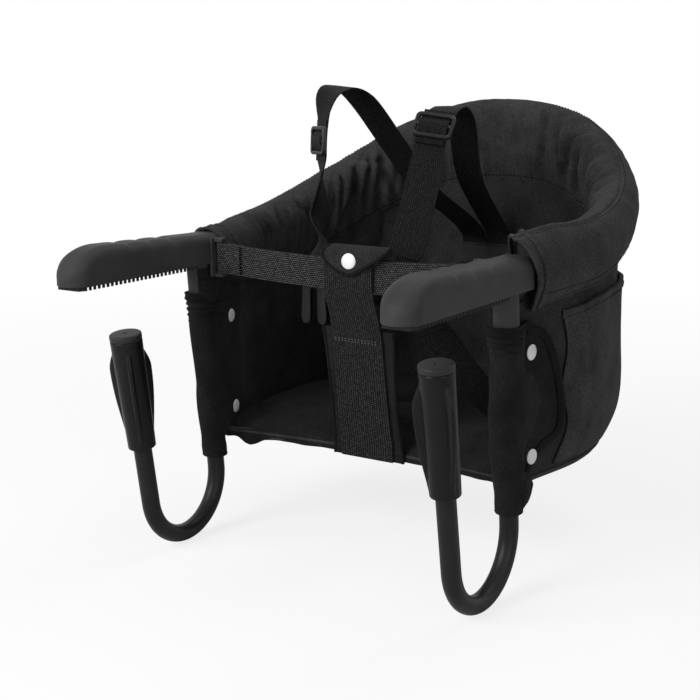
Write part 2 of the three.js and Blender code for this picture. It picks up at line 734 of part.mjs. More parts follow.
for (const [name, side] of SIDES) {
  const hook = new THREE.Group();
  hook.position.x = side * UPRIGHT_X;
  hook.rotation.set(LEAN, 0, -side * TOE_IN);
  chair.add(hook);

  const stations = hookStations();
  const legUp = V(0, -Math.sin(OPENING), Math.cos(OPENING));
  stations.push({ point: LEG_FOOT.clone().addScaledVector(legUp, HOOK_LEG), tangent: legUp });
  place(hook, `${name}_hook_tube`, tube(stations), paintedTube());

  const plugR = TUBE_BORE_R - GAP;
  const plug = ring(BOLT_DIAMETER / 2 + GAP, plugR, HOOK_TOP - HOOK_PLUG_LENGTH, HOOK_TOP);
  place(hook, `${name}_hook_plug`, plug, zincSteel());

  const headR = BOLT_HEAD_DIAMETER / 2;
  const seat = BOLT_SEAT_Z + GAP;
  const bolt = turned([
    [0, seat - BOLT_LENGTH],
    [BOLT_DIAMETER / 2, seat - BOLT_LENGTH],
    [BOLT_DIAMETER / 2, seat],
    [headR, seat],
    [headR, seat + BOLT_HEAD_HEIGHT * 0.5],
    [headR * 0.6, seat + BOLT_HEAD_HEIGHT],
    [0, seat + BOLT_HEAD_HEIGHT],
  ]);
  place(hook, `${name}_pivot_bolt`, bolt, zincSteel());

  const leg = new THREE.Group();
  leg.position.copy(LEG_FOOT);
  leg.rotation.x = OPENING;
  hook.add(leg);
  place(leg, `${name}_screw_spindle`, spindle(), zincSteel());

  const screw = new THREE.Group();
  screw.position.z = GRIP_HEIGHT[name];
  leg.add(screw);
  place(screw, `${name}_foot_pad`, footPad(), blackRubber());
  const nut = ring(SPINDLE_R + GAP, NUT_R, NUT_SEAT + GAP, NUT_SEAT + GAP + NUT_HEIGHT);
  place(screw, `${name}_nut_insert`, nut, brassMetal());
  const sleeve = place(screw, `${name}_grip`, grip(), gripPlastic());
  sleeve.rotation.z = THREE.MathUtils.degToRad(GRIP_TURN[name]);
}

// Padded rim: a foam roll around the hoop that hangs a little below it

function rimPad() {
  const AROUND = 12;
  const boreR = BORE_R / Math.cos(Math.PI / AROUND);
  const outer = [];
  const inner = [];
  for (let i = 0; i <= HOOP_STEPS; i += 1) {
    const s = i / HOOP_STEPS;
    const centre = hoopPoint(s);
    const side = planNormal(hoopPlan, s);
    const up = V(0, 0, 0).crossVectors(side, hoopTangent(s)).normalize();
    if (up.z < 0) up.negate();
    const rings = [[], []];
    for (let k = 0; k < AROUND; k += 1) {
      const a = (k / AROUND) * 2 * Math.PI;
      const [c, n] = [Math.cos(a), Math.sin(a)];
      const wide = centre.clone().addScaledVector(side, RIM_HALF_WIDTH * c);
      rings[0].push(wide.add(V(0, 0, RIM_HALF_HEIGHT * n - RIM_HANG)));
      const close = centre.clone().addScaledVector(side, boreR * c);
      rings[1].push(close.addScaledVector(up, boreR * n));
    }
    outer.push(rings[0]);
    inner.push(rings[1]);
  }
  return pipe(outer, inner);
}
place(chair, 'rim_pad', rimPad(), blackCloth());

// Seat wall with holes for the side snaps

const SNAPS = [];
for (const [name, side] of SIDES) {
  for (const [level, spot] of [['upper', SNAP_UPPER], ['lower', SNAP_LOWER]]) {
    const s = wallParameter(side, spot.y, spot.z);
    SNAPS.push({ name: `${name}_${level}`, side, at: wallPoint(s, spot.z), out: wallNormal(s) });
  }
}

// Turns a solid made about Z so that Z points along a snap's outward direction.
function alongSnap(geometry, snap) {
  const turn = new THREE.Quaternion().setFromUnitVectors(V(0, 0, 1), snap.out);
  return geometry.applyQuaternion(turn).translate(snap.at.x, snap.at.y, snap.at.z);
}

function snapHole(radius, snap) {
  return alongSnap(peg(radius + GAP, -30, 30, 10), snap);
}

function seatWall() {
  const ROWS = TUCK_STEPS + 2;
  const at = (u, v) => {
    const row = Math.round(v * ROWS);
    const above = (row - TUCK_STEPS) / (ROWS - TUCK_STEPS);
    return wallPoint(u, row < TUCK_STEPS ? tuckZ(row) : lerp(tuckZ(TUCK_STEPS), wallTopZ(u), above));
  };
  const across = (u) => wallNormal(u).multiplyScalar(WALL);
  const wall = sheet(HOOP_STEPS, ROWS, at, across);
  return combine(wall, { cut: SNAPS.map((snap) => snapHole(SNAP_POST_DIAMETER / 2, snap)) });
}
place(chair, 'seat_wall', seatWall(), blackCloth());

// Seat base, stiffening board and cushion

// Closed seat outline, drawn in by an inset, with a front edge that bows back to the middle.
function seatOutline(inset) {
  const points = [];
  const STEPS = 28;
  for (let i = 0; i <= STEPS; i += 1) {
    const p = floorPlan(i / STEPS);
    const n = planNormal(floorPlan, i / STEPS);
    points.push(new THREE.Vector2(p.x - n.x * inset, p.y - n.y * inset));
  }
  const corner = points.at(-1);
  const front = [];
  for (let i = 1; i < 8; i += 1) {
    const k = (i / 8) * 2 - 1;
    const depth = BASE_FRONT_BOW * (1 - k * k) + Math.max(inset, 0);
    front.push(new THREE.Vector2(k * Math.abs(corner.x), WALL_FRONT_Y + depth));
  }
  return [...points, ...front];
}

function seatPlate(inset, bottom, thickness) {
  const plate = new THREE.ExtrudeGeometry(new THREE.Shape(seatOutline(inset)), {
    depth: thickness,
    bevelEnabled: false,
  });
  return weld(plate.translate(0, 0, bottom));
}

const BOARD_INSET = WALL / 2 + 4 * GAP;
place(
  chair,
  'seat_base',
  seatPlate(-WALL / 2, SEAT_TOP_Z - BASE_THICKNESS, BASE_THICKNESS),
  blackCloth(),
);
place(chair, 'seat_board', seatPlate(BOARD_INSET, SEAT_TOP_Z + GAP, BOARD_THICKNESS), boardPlastic());

function seatPad() {
  const bottom = SEAT_TOP_Z + GAP + BOARD_THICKNESS + GAP;
  const levels = [[0, 4], [0.18, 1.5], [0.45, 0.5], [0.7, 2.5], [0.88, 14], [0.97, 44], [1, 84]];
  return loft(levels.map(([k, inset]) => seatOutline(BOARD_INSET + inset).map((p) => (
    V(p.x, p.y, bottom + k * PAD_THICKNESS)
  ))));
}
place(chair, 'seat_pad', seatPad(), blackCloth());

// Side sleeves: a cloth tube on each hook upright with a snapped flap along the seat wall

// Heights for the rows of a sheet on the wall: its lower edge, the tuck's steps, then even rows to its top.
function rowsOnWall(bottom, top, evenRows) {
  const rows = [bottom];
  for (let i = 1; i < TUCK_STEPS; i += 1) if (tuckZ(i) > bottom + GAP) rows.push(tuckZ(i));
  for (let i = 0; i <= evenRows; i += 1) rows.push(lerp(tuckZ(TUCK_STEPS), top, i / evenRows));
  return rows;
}

function sideSleeve(side) {
  const clothR = BORE_R + SLEEVE_WALL;
  const tubePart = onUpright(ring(BORE_R, clothR, -SLEEVE_END, -SOCKET_LENGTH - GAP));
  tubePart.translate(side * UPRIGHT_X, 0, 0);
  const lift = FLAP_INNER + FLAP / 2;
  const rows = rowsOnWall(FLAP_BOTTOM_Z, FLAP_TOP_Z, 4);
  const rowZ = (v) => rows[Math.round(v * (rows.length - 1))];
  const at = (u, v) => {
    const z = rowZ(v);
    const rise = (z - FLAP_BOTTOM_Z) / (FLAP_TOP_Z - FLAP_BOTTOM_Z);
    const reach = FLAP_REACH * (0.45 + 0.55 * Math.sin(Math.PI * Math.min(0.92, 0.1 + rise * 0.82)));
    const y = lerp(WALL_FRONT_Y, WALL_FRONT_Y + reach, u);
    const s = wallParameter(side, y, z);
    return wallPoint(s, z).addScaledVector(wallNormal(s), lift);
  };
  const across = (u, v) => {
    const s = wallParameter(side, WALL_FRONT_Y + 1 + u * FLAP_REACH, rowZ(v));
    return wallNormal(s).multiplyScalar(FLAP);
  };
  const flap = sheet(4, rows.length - 1, at, across);
  const web = sheet(
    2,
    rows.length - 1,
    (u, v) => {
      const z = rowZ(v);
      const tangent = uprightY(z) + 2;
      const start = wallPoint(side > 0 ? 0.001 : 0.999, z).x + side * lift;
      const x = lerp(side * (UPRIGHT_X + clothR - FLAP / 2), start, u ** 1.5);
      return V(x, lerp(tangent, WALL_FRONT_Y + 1, u), z);
    },
    () => V(side * FLAP, 0, 0),
  );
  const bore = onUpright(peg(BORE_R, -SLEEVE_END - 10, 10)).translate(side * UPRIGHT_X, 0, 0);
  const holes = SNAPS.filter((snap) => snap.side === side);
  const cuts = holes.map((snap) => snapHole(SNAP_SOCKET_DIAMETER / 2, snap));
  return combine(tubePart, { add: [web, flap], cut: [bore, ...cuts] });
}
for (const [name, side] of SIDES) place(chair, `${name}_side_sleeve`, sideSleeve(side), blackCloth());

// Storage pocket round the back of the seat: open along its top, sewn down at its other edges

function backPocket() {
  const low = wallParameter(1, POCKET_FRONT_Y, POCKET_BOTTOM_Z);
  const lift = WALL / 2 + 3 * GAP + POCKET_CLOTH / 2;
  const rows = rowsOnWall(POCKET_BOTTOM_Z, POCKET_TOP_Z, 3);
  const at = (u, v) => {
    const s = lerp(low, 1 - low, u);
    const z = rows[Math.round(v * (rows.length - 1))];
    const rise = (z - POCKET_BOTTOM_Z) / (POCKET_TOP_Z - POCKET_BOTTOM_Z);
    const ends = Math.min(1, Math.min(u, 1 - u) * 9);
    const bulge = POCKET_BULGE * Math.sin(ends * Math.PI / 2) * Math.sin(Math.min(1, rise * 2.2) * Math.PI / 2);
    return wallPoint(s, z).addScaledVector(wallNormal(s), lift + bulge);
  };
  const across = (u) => wallNormal(lerp(low, 1 - low, u)).multiplyScalar(POCKET_CLOTH);
  return sheet(26, rows.length - 1, at, across);
}
place(chair, 'back_pocket', backPocket(), blackCloth());

// Snaps: a capped socket in the outer cloth and a stud whose base lies on the inner face

function snapCap(inner) {
  const R = SNAP_DIAMETER / 2;
  const socketR = SNAP_SOCKET_DIAMETER / 2;
  const hollowR = SNAP_POST_DIAMETER / 2 + GAP;
  const top = inner + SNAP_CAP;
  return turned([
    [0, inner],
    [hollowR, inner],
    [hollowR, inner - 2],
    [socketR, inner - 2],
    [socketR, inner],
    [R, inner],
    [R, inner + SNAP_CAP * 0.4],
    [R * 0.6, top],
    [0, top],
  ], 10);
}

function snapStud(base, tip) {
  const R = SNAP_DIAMETER / 2 - 0.5;
  const postR = SNAP_POST_DIAMETER / 2;
  return turned([
    [0, base - SNAP_CAP],
    [R * 0.6, base - SNAP_CAP],
    [R, base - SNAP_CAP * 0.6],
    [R, base],
    [postR, base],
    [postR, tip],
    [0, tip],
  ], 10);
}

for (const snap of SNAPS) {
  const capSeat = FLAP_INNER + FLAP + 2 * GAP;
  place(chair, `${snap.name}_snap_cap`, alongSnap(snapCap(capSeat), snap), snapMetal());
  const studSeat = -WALL / 2 - GAP;
  place(chair, `${snap.name}_snap_stud`, alongSnap(snapStud(studSeat, capSeat - GAP), snap), snapMetal());
}

// Front belt: webbing looped round the bracket bars and sewn back on itself

const BAR_X = ARM_INNER_X - GAP - BELT_BAR_INSET;
const BELT_TURN_R = BELT_BAR_DIAMETER / 2 + GAP + BELT_CLOTH / 2;
const BELT_BACK_Y = BELT_Y + BELT_CLOTH + 0.5;

function beltSag(x) {
  return BELT_END_Z - BELT_SAG * Math.max(0, 1 - (x / BAR_X) ** 2);
}

function beltRoute() {
  const right = [new THREE.Vector2(BAR_X - BELT_LOOP, BELT_BACK_Y)];
  for (let i = 0; i <= 6; i += 1) {
    const a = Math.PI / 2 - (i / 6) * Math.PI;
    right.push(new THREE.Vector2(BAR_X + BELT_TURN_R * Math.cos(a), BELT_Y + BELT_TURN_R * Math.sin(a)));
  }
  right.push(new THREE.Vector2(BAR_X - BELT_LOOP, BELT_Y));
  for (let i = 1; i < 5; i += 1) right.push(new THREE.Vector2((BAR_X - BELT_LOOP) * (1 - i / 5), BELT_Y));
  const left = right.map((p) => new THREE.Vector2(-p.x, p.y)).reverse();
  return [...right, new THREE.Vector2(0, BELT_Y), ...left];
}

// A band of webbing along a plan route: each point has the middle height of the band there.
function band(route, height, cloth, middleZ) {
  const last = route.length - 1;
  const pick = (u) => Math.round(u * last);
  const at = (u, v) => {
    const p = route[pick(u)];
    return V(p.x, p.y, middleZ(p.x) + (v - 0.5) * height);
  };
  const across = (u) => {
    const i = pick(u);
    const d = route[Math.min(i + 1, last)].clone().sub(route[Math.max(i - 1, 0)]).normalize();
    return V(d.y * cloth, -d.x * cloth, 0);
  };
  return sheet(last, 1, at, across);
}

const TAB_SNAP = { at: V(TAB_SNAP_X, BELT_Y, TAB_SNAP_Z), out: V(0, -1, 0), side: 0 };
const STRAP_Y = BELT_Y - BELT_CLOTH / 2 - 2 * GAP - SNAP_CAP - STRAP_CLOTH / 2;
const TAB_FRONT_Y = STRAP_Y - STRAP_CLOTH / 2 - 1.6 - TAB_CLOTH / 2;
const TAB_BACK_Y = BELT_Y + BELT_CLOTH / 2 + GAP + TAB_CLOTH / 2;

place(chair, 'front_belt', band(beltRoute(), BELT_HEIGHT, BELT_CLOTH, beltSag), blackWebbing());

// A strip of cloth along a route of [y, z, x] points, where x is the middle of its width.
function strip(route, width, cloth, edge = () => 1) {
  const last = route.length - 1;
  const pick = (u) => Math.round(u * last);
  const at = (u, v) => {
    const [y, z, x] = route[pick(u)];
    return V(x + (v - 0.5) * width * edge(u), y, z);
  };
  const across = (u) => {
    const i = pick(u);
    const [y0, z0] = route[Math.max(i - 1, 0)];
    const [y1, z1] = route[Math.min(i + 1, last)];
    return V(0, z1 - z0, y0 - y1).normalize().multiplyScalar(cloth);
  };
  return sheet(last, 4, at, across);
}

// The crotch strap hangs in front of the belt and leans back to the front edge of the seat.
const PANEL_SHIFT = STRAP_CLOTH + 2 * GAP;
const BASE_FRONT_Y = WALL_FRONT_Y + BASE_FRONT_BOW - WALL / 2;
const STRAP_FOOT_Y = BASE_FRONT_Y - GAP - STRAP_CLOTH / 2 - PANEL_SHIFT;
const STRAP_FOOT_Z = SEAT_TOP_Z - BASE_THICKNESS;

// How far back the strap has leant, as a share, at a share of its way down from the belt.
function strapLean(k) {
  const i = Math.max(1, STRAP_LEAN.findIndex(([down]) => down >= k));
  const [[k0, lean0], [k1, lean1]] = [STRAP_LEAN[i - 1], STRAP_LEAN[i]];
  return lerp(lean0, lean1, (k - k0) / (k1 - k0));
}

function crotchRoute(top, shift) {
  const bendZ = BELT_END_Z - BELT_SAG - BELT_HEIGHT / 2 - 2;
  const endZ = SEAT_TOP_Z + 6;
  const start = Math.min(top, bendZ);
  const heights = top > start ? [top, (top + start) / 2] : [];
  for (let i = 0; i <= 9; i += 1) heights.push(lerp(start, endZ, i / 9));
  const route = heights.map((z) => {
    const k = THREE.MathUtils.clamp((z - bendZ) / (endZ - bendZ), 0, 1);
    return [lerp(STRAP_Y, STRAP_FOOT_Y, strapLean(k)) + shift, z, lerp(STRAP_TOP_X, STRAP_FOOT_X, k)];
  });
  route.push([STRAP_FOOT_Y + shift, STRAP_FOOT_Z, STRAP_FOOT_X]);
  return route;
}

const strapHole = (radius) => alongSnap(peg(radius + GAP, -30, 30, 10), TAB_SNAP);
const crotchStrap = strip(crotchRoute(STRAP_TOP_Z, 0), STRAP_WIDTH, STRAP_CLOTH);
place(
  chair,
  'crotch_strap',
  combine(crotchStrap, { cut: [strapHole(SNAP_POST_DIAMETER / 2)] }),
  blackWebbing(),
);
place(
  chair,
  'crotch_panel',
  strip(crotchRoute(PANEL_TOP_Z, PANEL_SHIFT), PANEL_WIDTH, STRAP_CLOTH),
  blackCloth(),
);

function tabRoute() {
  const middle = (TAB_FRONT_Y + TAB_BACK_Y) / 2;
  const radius = (TAB_BACK_Y - TAB_FRONT_Y) / 2;
  const route = [[TAB_BACK_Y, TAB_BACK_Z, TAB_X], [TAB_BACK_Y, 4, TAB_X]];
  for (let i = 0; i <= 6; i += 1) {
    const a = (i / 6) * Math.PI;
    route.push([middle + radius * Math.cos(a), TAB_TOP_Z - radius + radius * Math.sin(a), TAB_X]);
  }
  for (const k of [0.3, 0.6, 0.8, 0.93, 1]) {
    route.push([TAB_FRONT_Y, lerp(TAB_TOP_Z - radius, TAB_FRONT_Z, k), TAB_X]);
  }
  return route;
}

function crotchTab() {
  const rounded = (u) => {
    const k = THREE.MathUtils.clamp((u - 0.62) / 0.38, 0, 1);
    return Math.sqrt(Math.max(0.06, 1 - k * k * 0.94));
  };
  const cloth = strip(tabRoute(), TAB_WIDTH, TAB_CLOTH, rounded);
  const frontHole = peg(SNAP_SOCKET_DIAMETER / 2 + GAP, 2, 30, 12);
  return combine(cloth, { cut: [alongSnap(frontHole, TAB_SNAP)] });
}
place(chair, 'crotch_tab', crotchTab(), blackCloth());

const tabCapSeat = BELT_Y - TAB_FRONT_Y + TAB_CLOTH / 2 + GAP;
const tabStudSeat = BELT_Y - STRAP_Y - STRAP_CLOTH / 2 - GAP;
place(chair, 'tab_snap_cap', alongSnap(snapCap(tabCapSeat), TAB_SNAP), snapMetal());
place(chair, 'tab_snap_stud', alongSnap(snapStud(tabStudSeat, tabCapSeat - GAP), TAB_SNAP), snapMetal());

// Harness: shoulder straps from one seam on the back wall, over the shoulders to the buckle halves

const smooth = (points) => new THREE.CatmullRomCurve3(points.map((p) => V(...p)));

// Directions along and across a strap, whose width turns through rows [share of the length, x, y, z].
function strapFrame(curve, widths, u) {
  const tangent = curve.getTangentAt(u);
  const next = Math.max(1, widths.findIndex(([share]) => share >= u - 1e-9));
  const [[from, ...before], [to, ...after]] = [widths[next - 1], widths[next]];
  const width = V(...before).lerp(V(...after), (u - from) / (to - from));
  width.addScaledVector(tangent, -width.dot(tangent)).normalize();
  return { tangent, width };
}

// A ribbon along points [x, y, z], with the directions of its width.
function ribbon(points, widths, steps) {
  const curve = smooth(points);
  const at = (u, v) => {
    const { width } = strapFrame(curve, widths, u);
    return curve.getPointAt(u).addScaledVector(width, (v - 0.5) * HARNESS_WIDTH);
  };
  const across = (u) => {
    const { tangent, width } = strapFrame(curve, widths, u);
    return V(0, 0, 0).crossVectors(tangent, width).normalize().multiplyScalar(HARNESS_CLOTH);
  };
  return sheet(steps, 1, at, across);
}

// The sewn end of a shoulder strap lies flat on the inner face of the back wall.
function sewnEnd(side) {
  const x = HARNESS_SEAM_X + side * HARNESS_SPREAD;
  const onWall = (z, clear) => [x, wallPoint(0.5, z).y - WALL / 2 - HARNESS_CLOTH / 2 - clear, z];
  const curve = 0.7 + Math.abs(x) * HARNESS_WALL_SLOPE;
  return [
    onWall(HARNESS_SEAM_Z, curve + GAP),
    onWall(HARNESS_SEAM_Z + 13, curve + 2 * GAP),
    onWall(HARNESS_SEAM_Z + 22, curve + 4),
  ];
}

const LEFT_SHOULDER = [
  ...sewnEnd(-1), [-20, 268, 35], [-32, 216, 68], [-47, 176, 116], [-61, 131, 166],
  [-64, 100, 178], [-62, 74, 170], [-60, 60, 138], [-60, 58, 100], [-58, 56, 70], [-55, 48, 34], [-43, 21, -9],
];
const RIGHT_SHOULDER = [
  ...sewnEnd(1), [3, 254, 77], [29, 182, 146], [37, 146, 158],
  [42, 108, 144], [44, 86, 109], [44, 66, 67], [44, 49, 32], [44, 38, 1.2],
];
const LEFT_WAIST = [[-38, 26, -15], [-32, 60, -40], [-30, 110, -100], [-32, 128, -135], [-34, 134, -157.4]];
const RIGHT_WAIST = [[50, 39, -18], [72, 58, -54], [102, 80, -105], [121, 106, -140], [121, 106, -158.2]];

const LEFT_WIDTHS = [
  [0, 1, HARNESS_WALL_SLOPE, 0], [0.24, 1, 0.1, 0.05], [0.43, 1, 0.15, 0.1], [0.53, 1, 0.2, 0.05],
  [0.62, 0.97, 0, -0.15], [0.69, 0.8, -0.6, 0], [0.765, 0.78, -0.62, 0], [0.81, 0.5, -0.86, 0],
  [0.87, 0, -1, 0], [1, 1, 0.45, 0],
];
const RIGHT_WIDTHS = [[0, 1, 0, 0], [0.5, 1, 0.1, 0], [0.64, 1, 0.4, 0], [1, 1, 0.4, 0]];
const SHOULDERS = {
  left: ribbon(LEFT_SHOULDER, LEFT_WIDTHS, SLIDER_SPOT.left.steps),
  right: ribbon(RIGHT_SHOULDER, RIGHT_WIDTHS, SLIDER_SPOT.right.steps),
};
const WAISTS = {
  left: ribbon(LEFT_WAIST, [[0, 1, 0, 0], [1, 1, 0.2, 0]], 8),
  right: ribbon(RIGHT_WAIST, [[0, 0.58, 0.52, 0.58], [1, 0.74, 0.67, 0]], 8),
};
for (const [name] of SIDES) {
  place(chair, `${name}_shoulder_strap`, SHOULDERS[name], blackWebbing());
  place(chair, `${name}_waist_strap`, WAISTS[name], blackWebbing());
}

// Strap slider: a flat frame with a middle bar, lying on the strap's outer face
function slider() {
  const half = { w: SLIDER_WIDTH / 2, h: SLIDER_HEIGHT / 2 };
  const frame = new THREE.Shape();
  frame.moveTo(-half.w, -half.h);
  frame.lineTo(half.w, -half.h);
  frame.lineTo(half.w, half.h);
  frame.lineTo(-half.w, half.h);
  const slotHalf = HARNESS_WIDTH / 2 + GAP;
  for (const side of [-1, 1]) {
    const [near, far] = [side * SLIDER_BAR / 2, side * (half.h - SLIDER_BAR)];
    const slot = new THREE.Path();
    slot.moveTo(-slotHalf, near);
    slot.lineTo(slotHalf, near);
    slot.lineTo(slotHalf, far);
    slot.lineTo(-slotHalf, far);
    frame.holes.push(slot);
  }
  return weld(new THREE.ExtrudeGeometry(frame, { depth: SLIDER_THICKNESS, bevelEnabled: false }));
}

// Sets a slider on a shoulder strap at one of its steps, on the side that faces outward.
function onStrap(points, widths, spot) {
  const curve = smooth(points);
  const share = spot.step / spot.steps;
  const { tangent, width } = strapFrame(curve, widths, share);
  width.negate();
  const out = V(0, 0, 0).crossVectors(width, tangent).normalize();
  const origin = curve.getPointAt(share).addScaledVector(out, HARNESS_CLOTH / 2 + 2 * GAP);
  return new THREE.Matrix4().makeBasis(width, tangent, out).setPosition(origin);
}
const SLIDER_SEATS = {
  left: onStrap(LEFT_SHOULDER, LEFT_WIDTHS, SLIDER_SPOT.left),
  right: onStrap(RIGHT_SHOULDER, RIGHT_WIDTHS, SLIDER_SPOT.right),
};
for (const [name] of SIDES) {
  place(chair, `${name}_slider`, slider().applyMatrix4(SLIDER_SEATS[name]), mouldedPlastic());
}

// Buckle half: a bar for the strap and two spring prongs
function clip() {
  const half = CLIP_WIDTH / 2;
  const prong = 7;
  const shoulder = CLIP_LENGTH * 0.34;
  const outline = new THREE.Shape();
  outline.moveTo(-half, 0);
  outline.lineTo(half, 0);
  outline.lineTo(half, -shoulder);
  outline.quadraticCurveTo(half + 1.5, -CLIP_LENGTH * 0.8, half - prong * 0.5, -CLIP_LENGTH);
  outline.lineTo(half - prong, -CLIP_LENGTH + 5);
  outline.lineTo(half - prong, -shoulder);
  outline.lineTo(-half + prong, -shoulder);
  outline.lineTo(-half + prong, -CLIP_LENGTH + 5);
  outline.lineTo(-half + prong * 0.5, -CLIP_LENGTH);
  outline.quadraticCurveTo(-half - 1.5, -CLIP_LENGTH * 0.8, -half, -shoulder);
  const blade = new THREE.ExtrudeGeometry(outline, {
    depth: CLIP_THICKNESS,
    bevelEnabled: false,
    curveSegments: 4,
  });
  blade.translate(0, 0, -CLIP_THICKNESS / 2);
  return weld(blade.rotateX(Math.PI / 2));
}
const leftClip = place(chair, 'left_clip', clip(), mouldedPlastic());
leftClip.position.set(LEFT_SHOULDER.at(-1)[0], LEFT_SHOULDER.at(-1)[1] - 1, LEFT_SHOULDER.at(-1)[2] - 1.4);
const rightClip = place(chair, 'right_clip', clip(), mouldedPlastic());
rightClip.rotation.y = Math.PI / 2;
rightClip.position.set(RIGHT_SHOULDER.at(-1)[0], RIGHT_SHOULDER.at(-1)[1], RIGHT_SHOULDER.at(-1)[2] - CLIP_WIDTH / 2 - 1.2);

export default chair;
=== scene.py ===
import math

import bmesh
import bpy
import numpy as np
from mathutils import Matrix, Vector


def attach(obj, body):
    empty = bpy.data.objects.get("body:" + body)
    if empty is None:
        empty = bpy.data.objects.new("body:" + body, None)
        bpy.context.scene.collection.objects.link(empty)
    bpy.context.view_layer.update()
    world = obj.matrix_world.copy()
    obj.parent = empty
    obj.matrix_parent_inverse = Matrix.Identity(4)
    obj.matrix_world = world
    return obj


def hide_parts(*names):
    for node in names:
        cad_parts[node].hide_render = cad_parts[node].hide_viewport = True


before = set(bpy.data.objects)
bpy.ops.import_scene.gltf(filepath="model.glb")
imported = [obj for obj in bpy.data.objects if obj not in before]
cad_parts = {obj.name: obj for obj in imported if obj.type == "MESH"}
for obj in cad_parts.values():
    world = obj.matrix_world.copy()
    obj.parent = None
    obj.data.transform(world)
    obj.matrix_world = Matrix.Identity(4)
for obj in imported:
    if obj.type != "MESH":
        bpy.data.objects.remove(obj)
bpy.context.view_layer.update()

# Camera: a long lens in front of the chair, a little above the arms and to the sitter's left. It looks
# down by twelve degrees.
scene = bpy.context.scene
scene.view_settings.view_transform = "Standard"
CAMERA_PLACE = (0.6732, -1.0055, 0.1907)
CAMERA_LENS = 66.25
AZIMUTH, PITCH, ROLL = (math.radians(a) for a in (33.373, 12.102, -0.328))
look = Vector((-math.sin(AZIMUTH) * math.cos(PITCH), math.cos(AZIMUTH) * math.cos(PITCH), -math.sin(PITCH)))
level = Vector((math.cos(AZIMUTH), math.sin(AZIMUTH), 0))
upward = level.cross(look)
image_right = math.cos(ROLL) * level + math.sin(ROLL) * upward
image_up = math.cos(ROLL) * upward - math.sin(ROLL) * level
camera = bpy.data.objects.new("camera", bpy.data.cameras.new("camera"))
camera.data.sensor_width = 36
camera.data.lens = CAMERA_LENS
camera.data.clip_start, camera.data.clip_end = 0.01, 200
camera.matrix_world = Matrix((image_right, image_up, -look)).transposed().to_4x4()
camera.location = CAMERA_PLACE
scene.collection.objects.link(camera)
scene.camera = camera

# Floor and light: a plain white studio, with a large soft lamp on the left of the camera, a weaker
# one on its right and one above the back. The floor lies just under the hooks.
FLOOR_Z, FLOOR_HALF = -0.2845, 40.0
SHADOW_NEAR, SHADOW_FAR = 0.5, 1.8
WORLD_LIGHT = 0.2


def add_node(tree, kind, operation=None, **inputs):
    """A shader node with its sockets set; an underscore in a socket's name stands for a space."""
    node = tree.nodes.new("ShaderNode" + kind)
    if operation:
        node.operation = operation
    for socket, value in inputs.items():
        node.inputs[socket.replace("_", " ")].default_value = value
    return node


def wire(tree, *pairs):
    for source, target in pairs:
        tree.links.new(source, target)


floor_mesh = bpy.data.meshes.new("floor")
corners = [(x * FLOOR_HALF, y * FLOOR_HALF, FLOOR_Z) for x, y in ((-1, -1), (1, -1), (1, 1), (-1, 1))]
floor_mesh.from_pydata(corners, [], [(0, 1, 2, 3)])
floor = bpy.data.objects.new("floor", floor_mesh)
scene.collection.objects.link(floor)
floor_paper = bpy.data.materials.new("floor_paper")
floor_paper.use_nodes = True
tree = floor_paper.node_tree
tree.nodes.clear()
paper = add_node(tree, "BsdfDiffuse", Color=(0.9, 0.9, 0.9, 1))
white = add_node(tree, "Emission", Color=(1, 1, 1, 1))
ray = add_node(tree, "LightPath")
ground = add_node(tree, "TexCoord")
distance = add_node(tree, "VectorMath", "LENGTH")
share = add_node(tree, "MapRange", From_Min=SHADOW_NEAR, From_Max=SHADOW_FAR, To_Min=0.8, To_Max=1.0)
seen = add_node(tree, "Math", "MULTIPLY")
blend = add_node(tree, "MixShader")
surface = add_node(tree, "OutputMaterial")
wire(tree, (ground.outputs["Object"], distance.inputs[0]), (distance.outputs["Value"], share.inputs["Value"]),
     (ray.outputs["Is Camera Ray"], seen.inputs[0]), (share.outputs["Result"], seen.inputs[1]),
     (seen.outputs[0], blend.inputs["Fac"]), (paper.outputs[0], blend.inputs[1]),
     (white.outputs[0], blend.inputs[2]), (blend.outputs[0], surface.inputs["Surface"]))
floor_mesh.materials.append(floor_paper)

studio = bpy.data.worlds.new("studio")
studio.use_nodes = True
scene.world = studio
tree = studio.node_tree
ray = add_node(tree, "LightPath")
reach = add_node(tree, "Math", "MAXIMUM")
clear = add_node(tree, "Math", "MAXIMUM")
strength = add_node(tree, "MapRange", To_Min=WORLD_LIGHT, To_Max=1.0)
backdrop = tree.nodes["Background"]
backdrop.inputs["Color"].default_value = (1, 1, 1, 1)
wire(tree, (ray.outputs["Is Camera Ray"], reach.inputs[0]), (ray.outputs["Is Glossy Ray"], reach.inputs[1]),
     (reach.outputs[0], clear.inputs[0]), (ray.outputs["Is Transmission Ray"], clear.inputs[1]),
     (clear.outputs[0], strength.inputs["Value"]), (strength.outputs["Result"], backdrop.inputs["Strength"]))


def soft_lamp(name, place, target, size, power):
    lamp = bpy.data.lights.new(name, "AREA")
    lamp.shape = "DISK"
    lamp.size = size
    lamp.energy = power
    holder = bpy.data.objects.new(name, lamp)
    holder.location = place
    holder.rotation_mode = "QUATERNION"
    holder.rotation_quaternion = (Vector(target) - Vector(place)).to_track_quat("-Z", "Y")
    scene.collection.objects.link(holder)


soft_lamp("key_lamp", (-0.75, -2.0, 1.15), (0, 0.05, 0), 1.7, 61)
soft_lamp("fill_lamp", (3.0, -1.4, 0.75), (0.1, 0.1, 0), 2.0, 22)
soft_lamp("top_lamp", (0.3, 1.2, 1.9), (0, 0.15, 0.1), 1.4, 17)

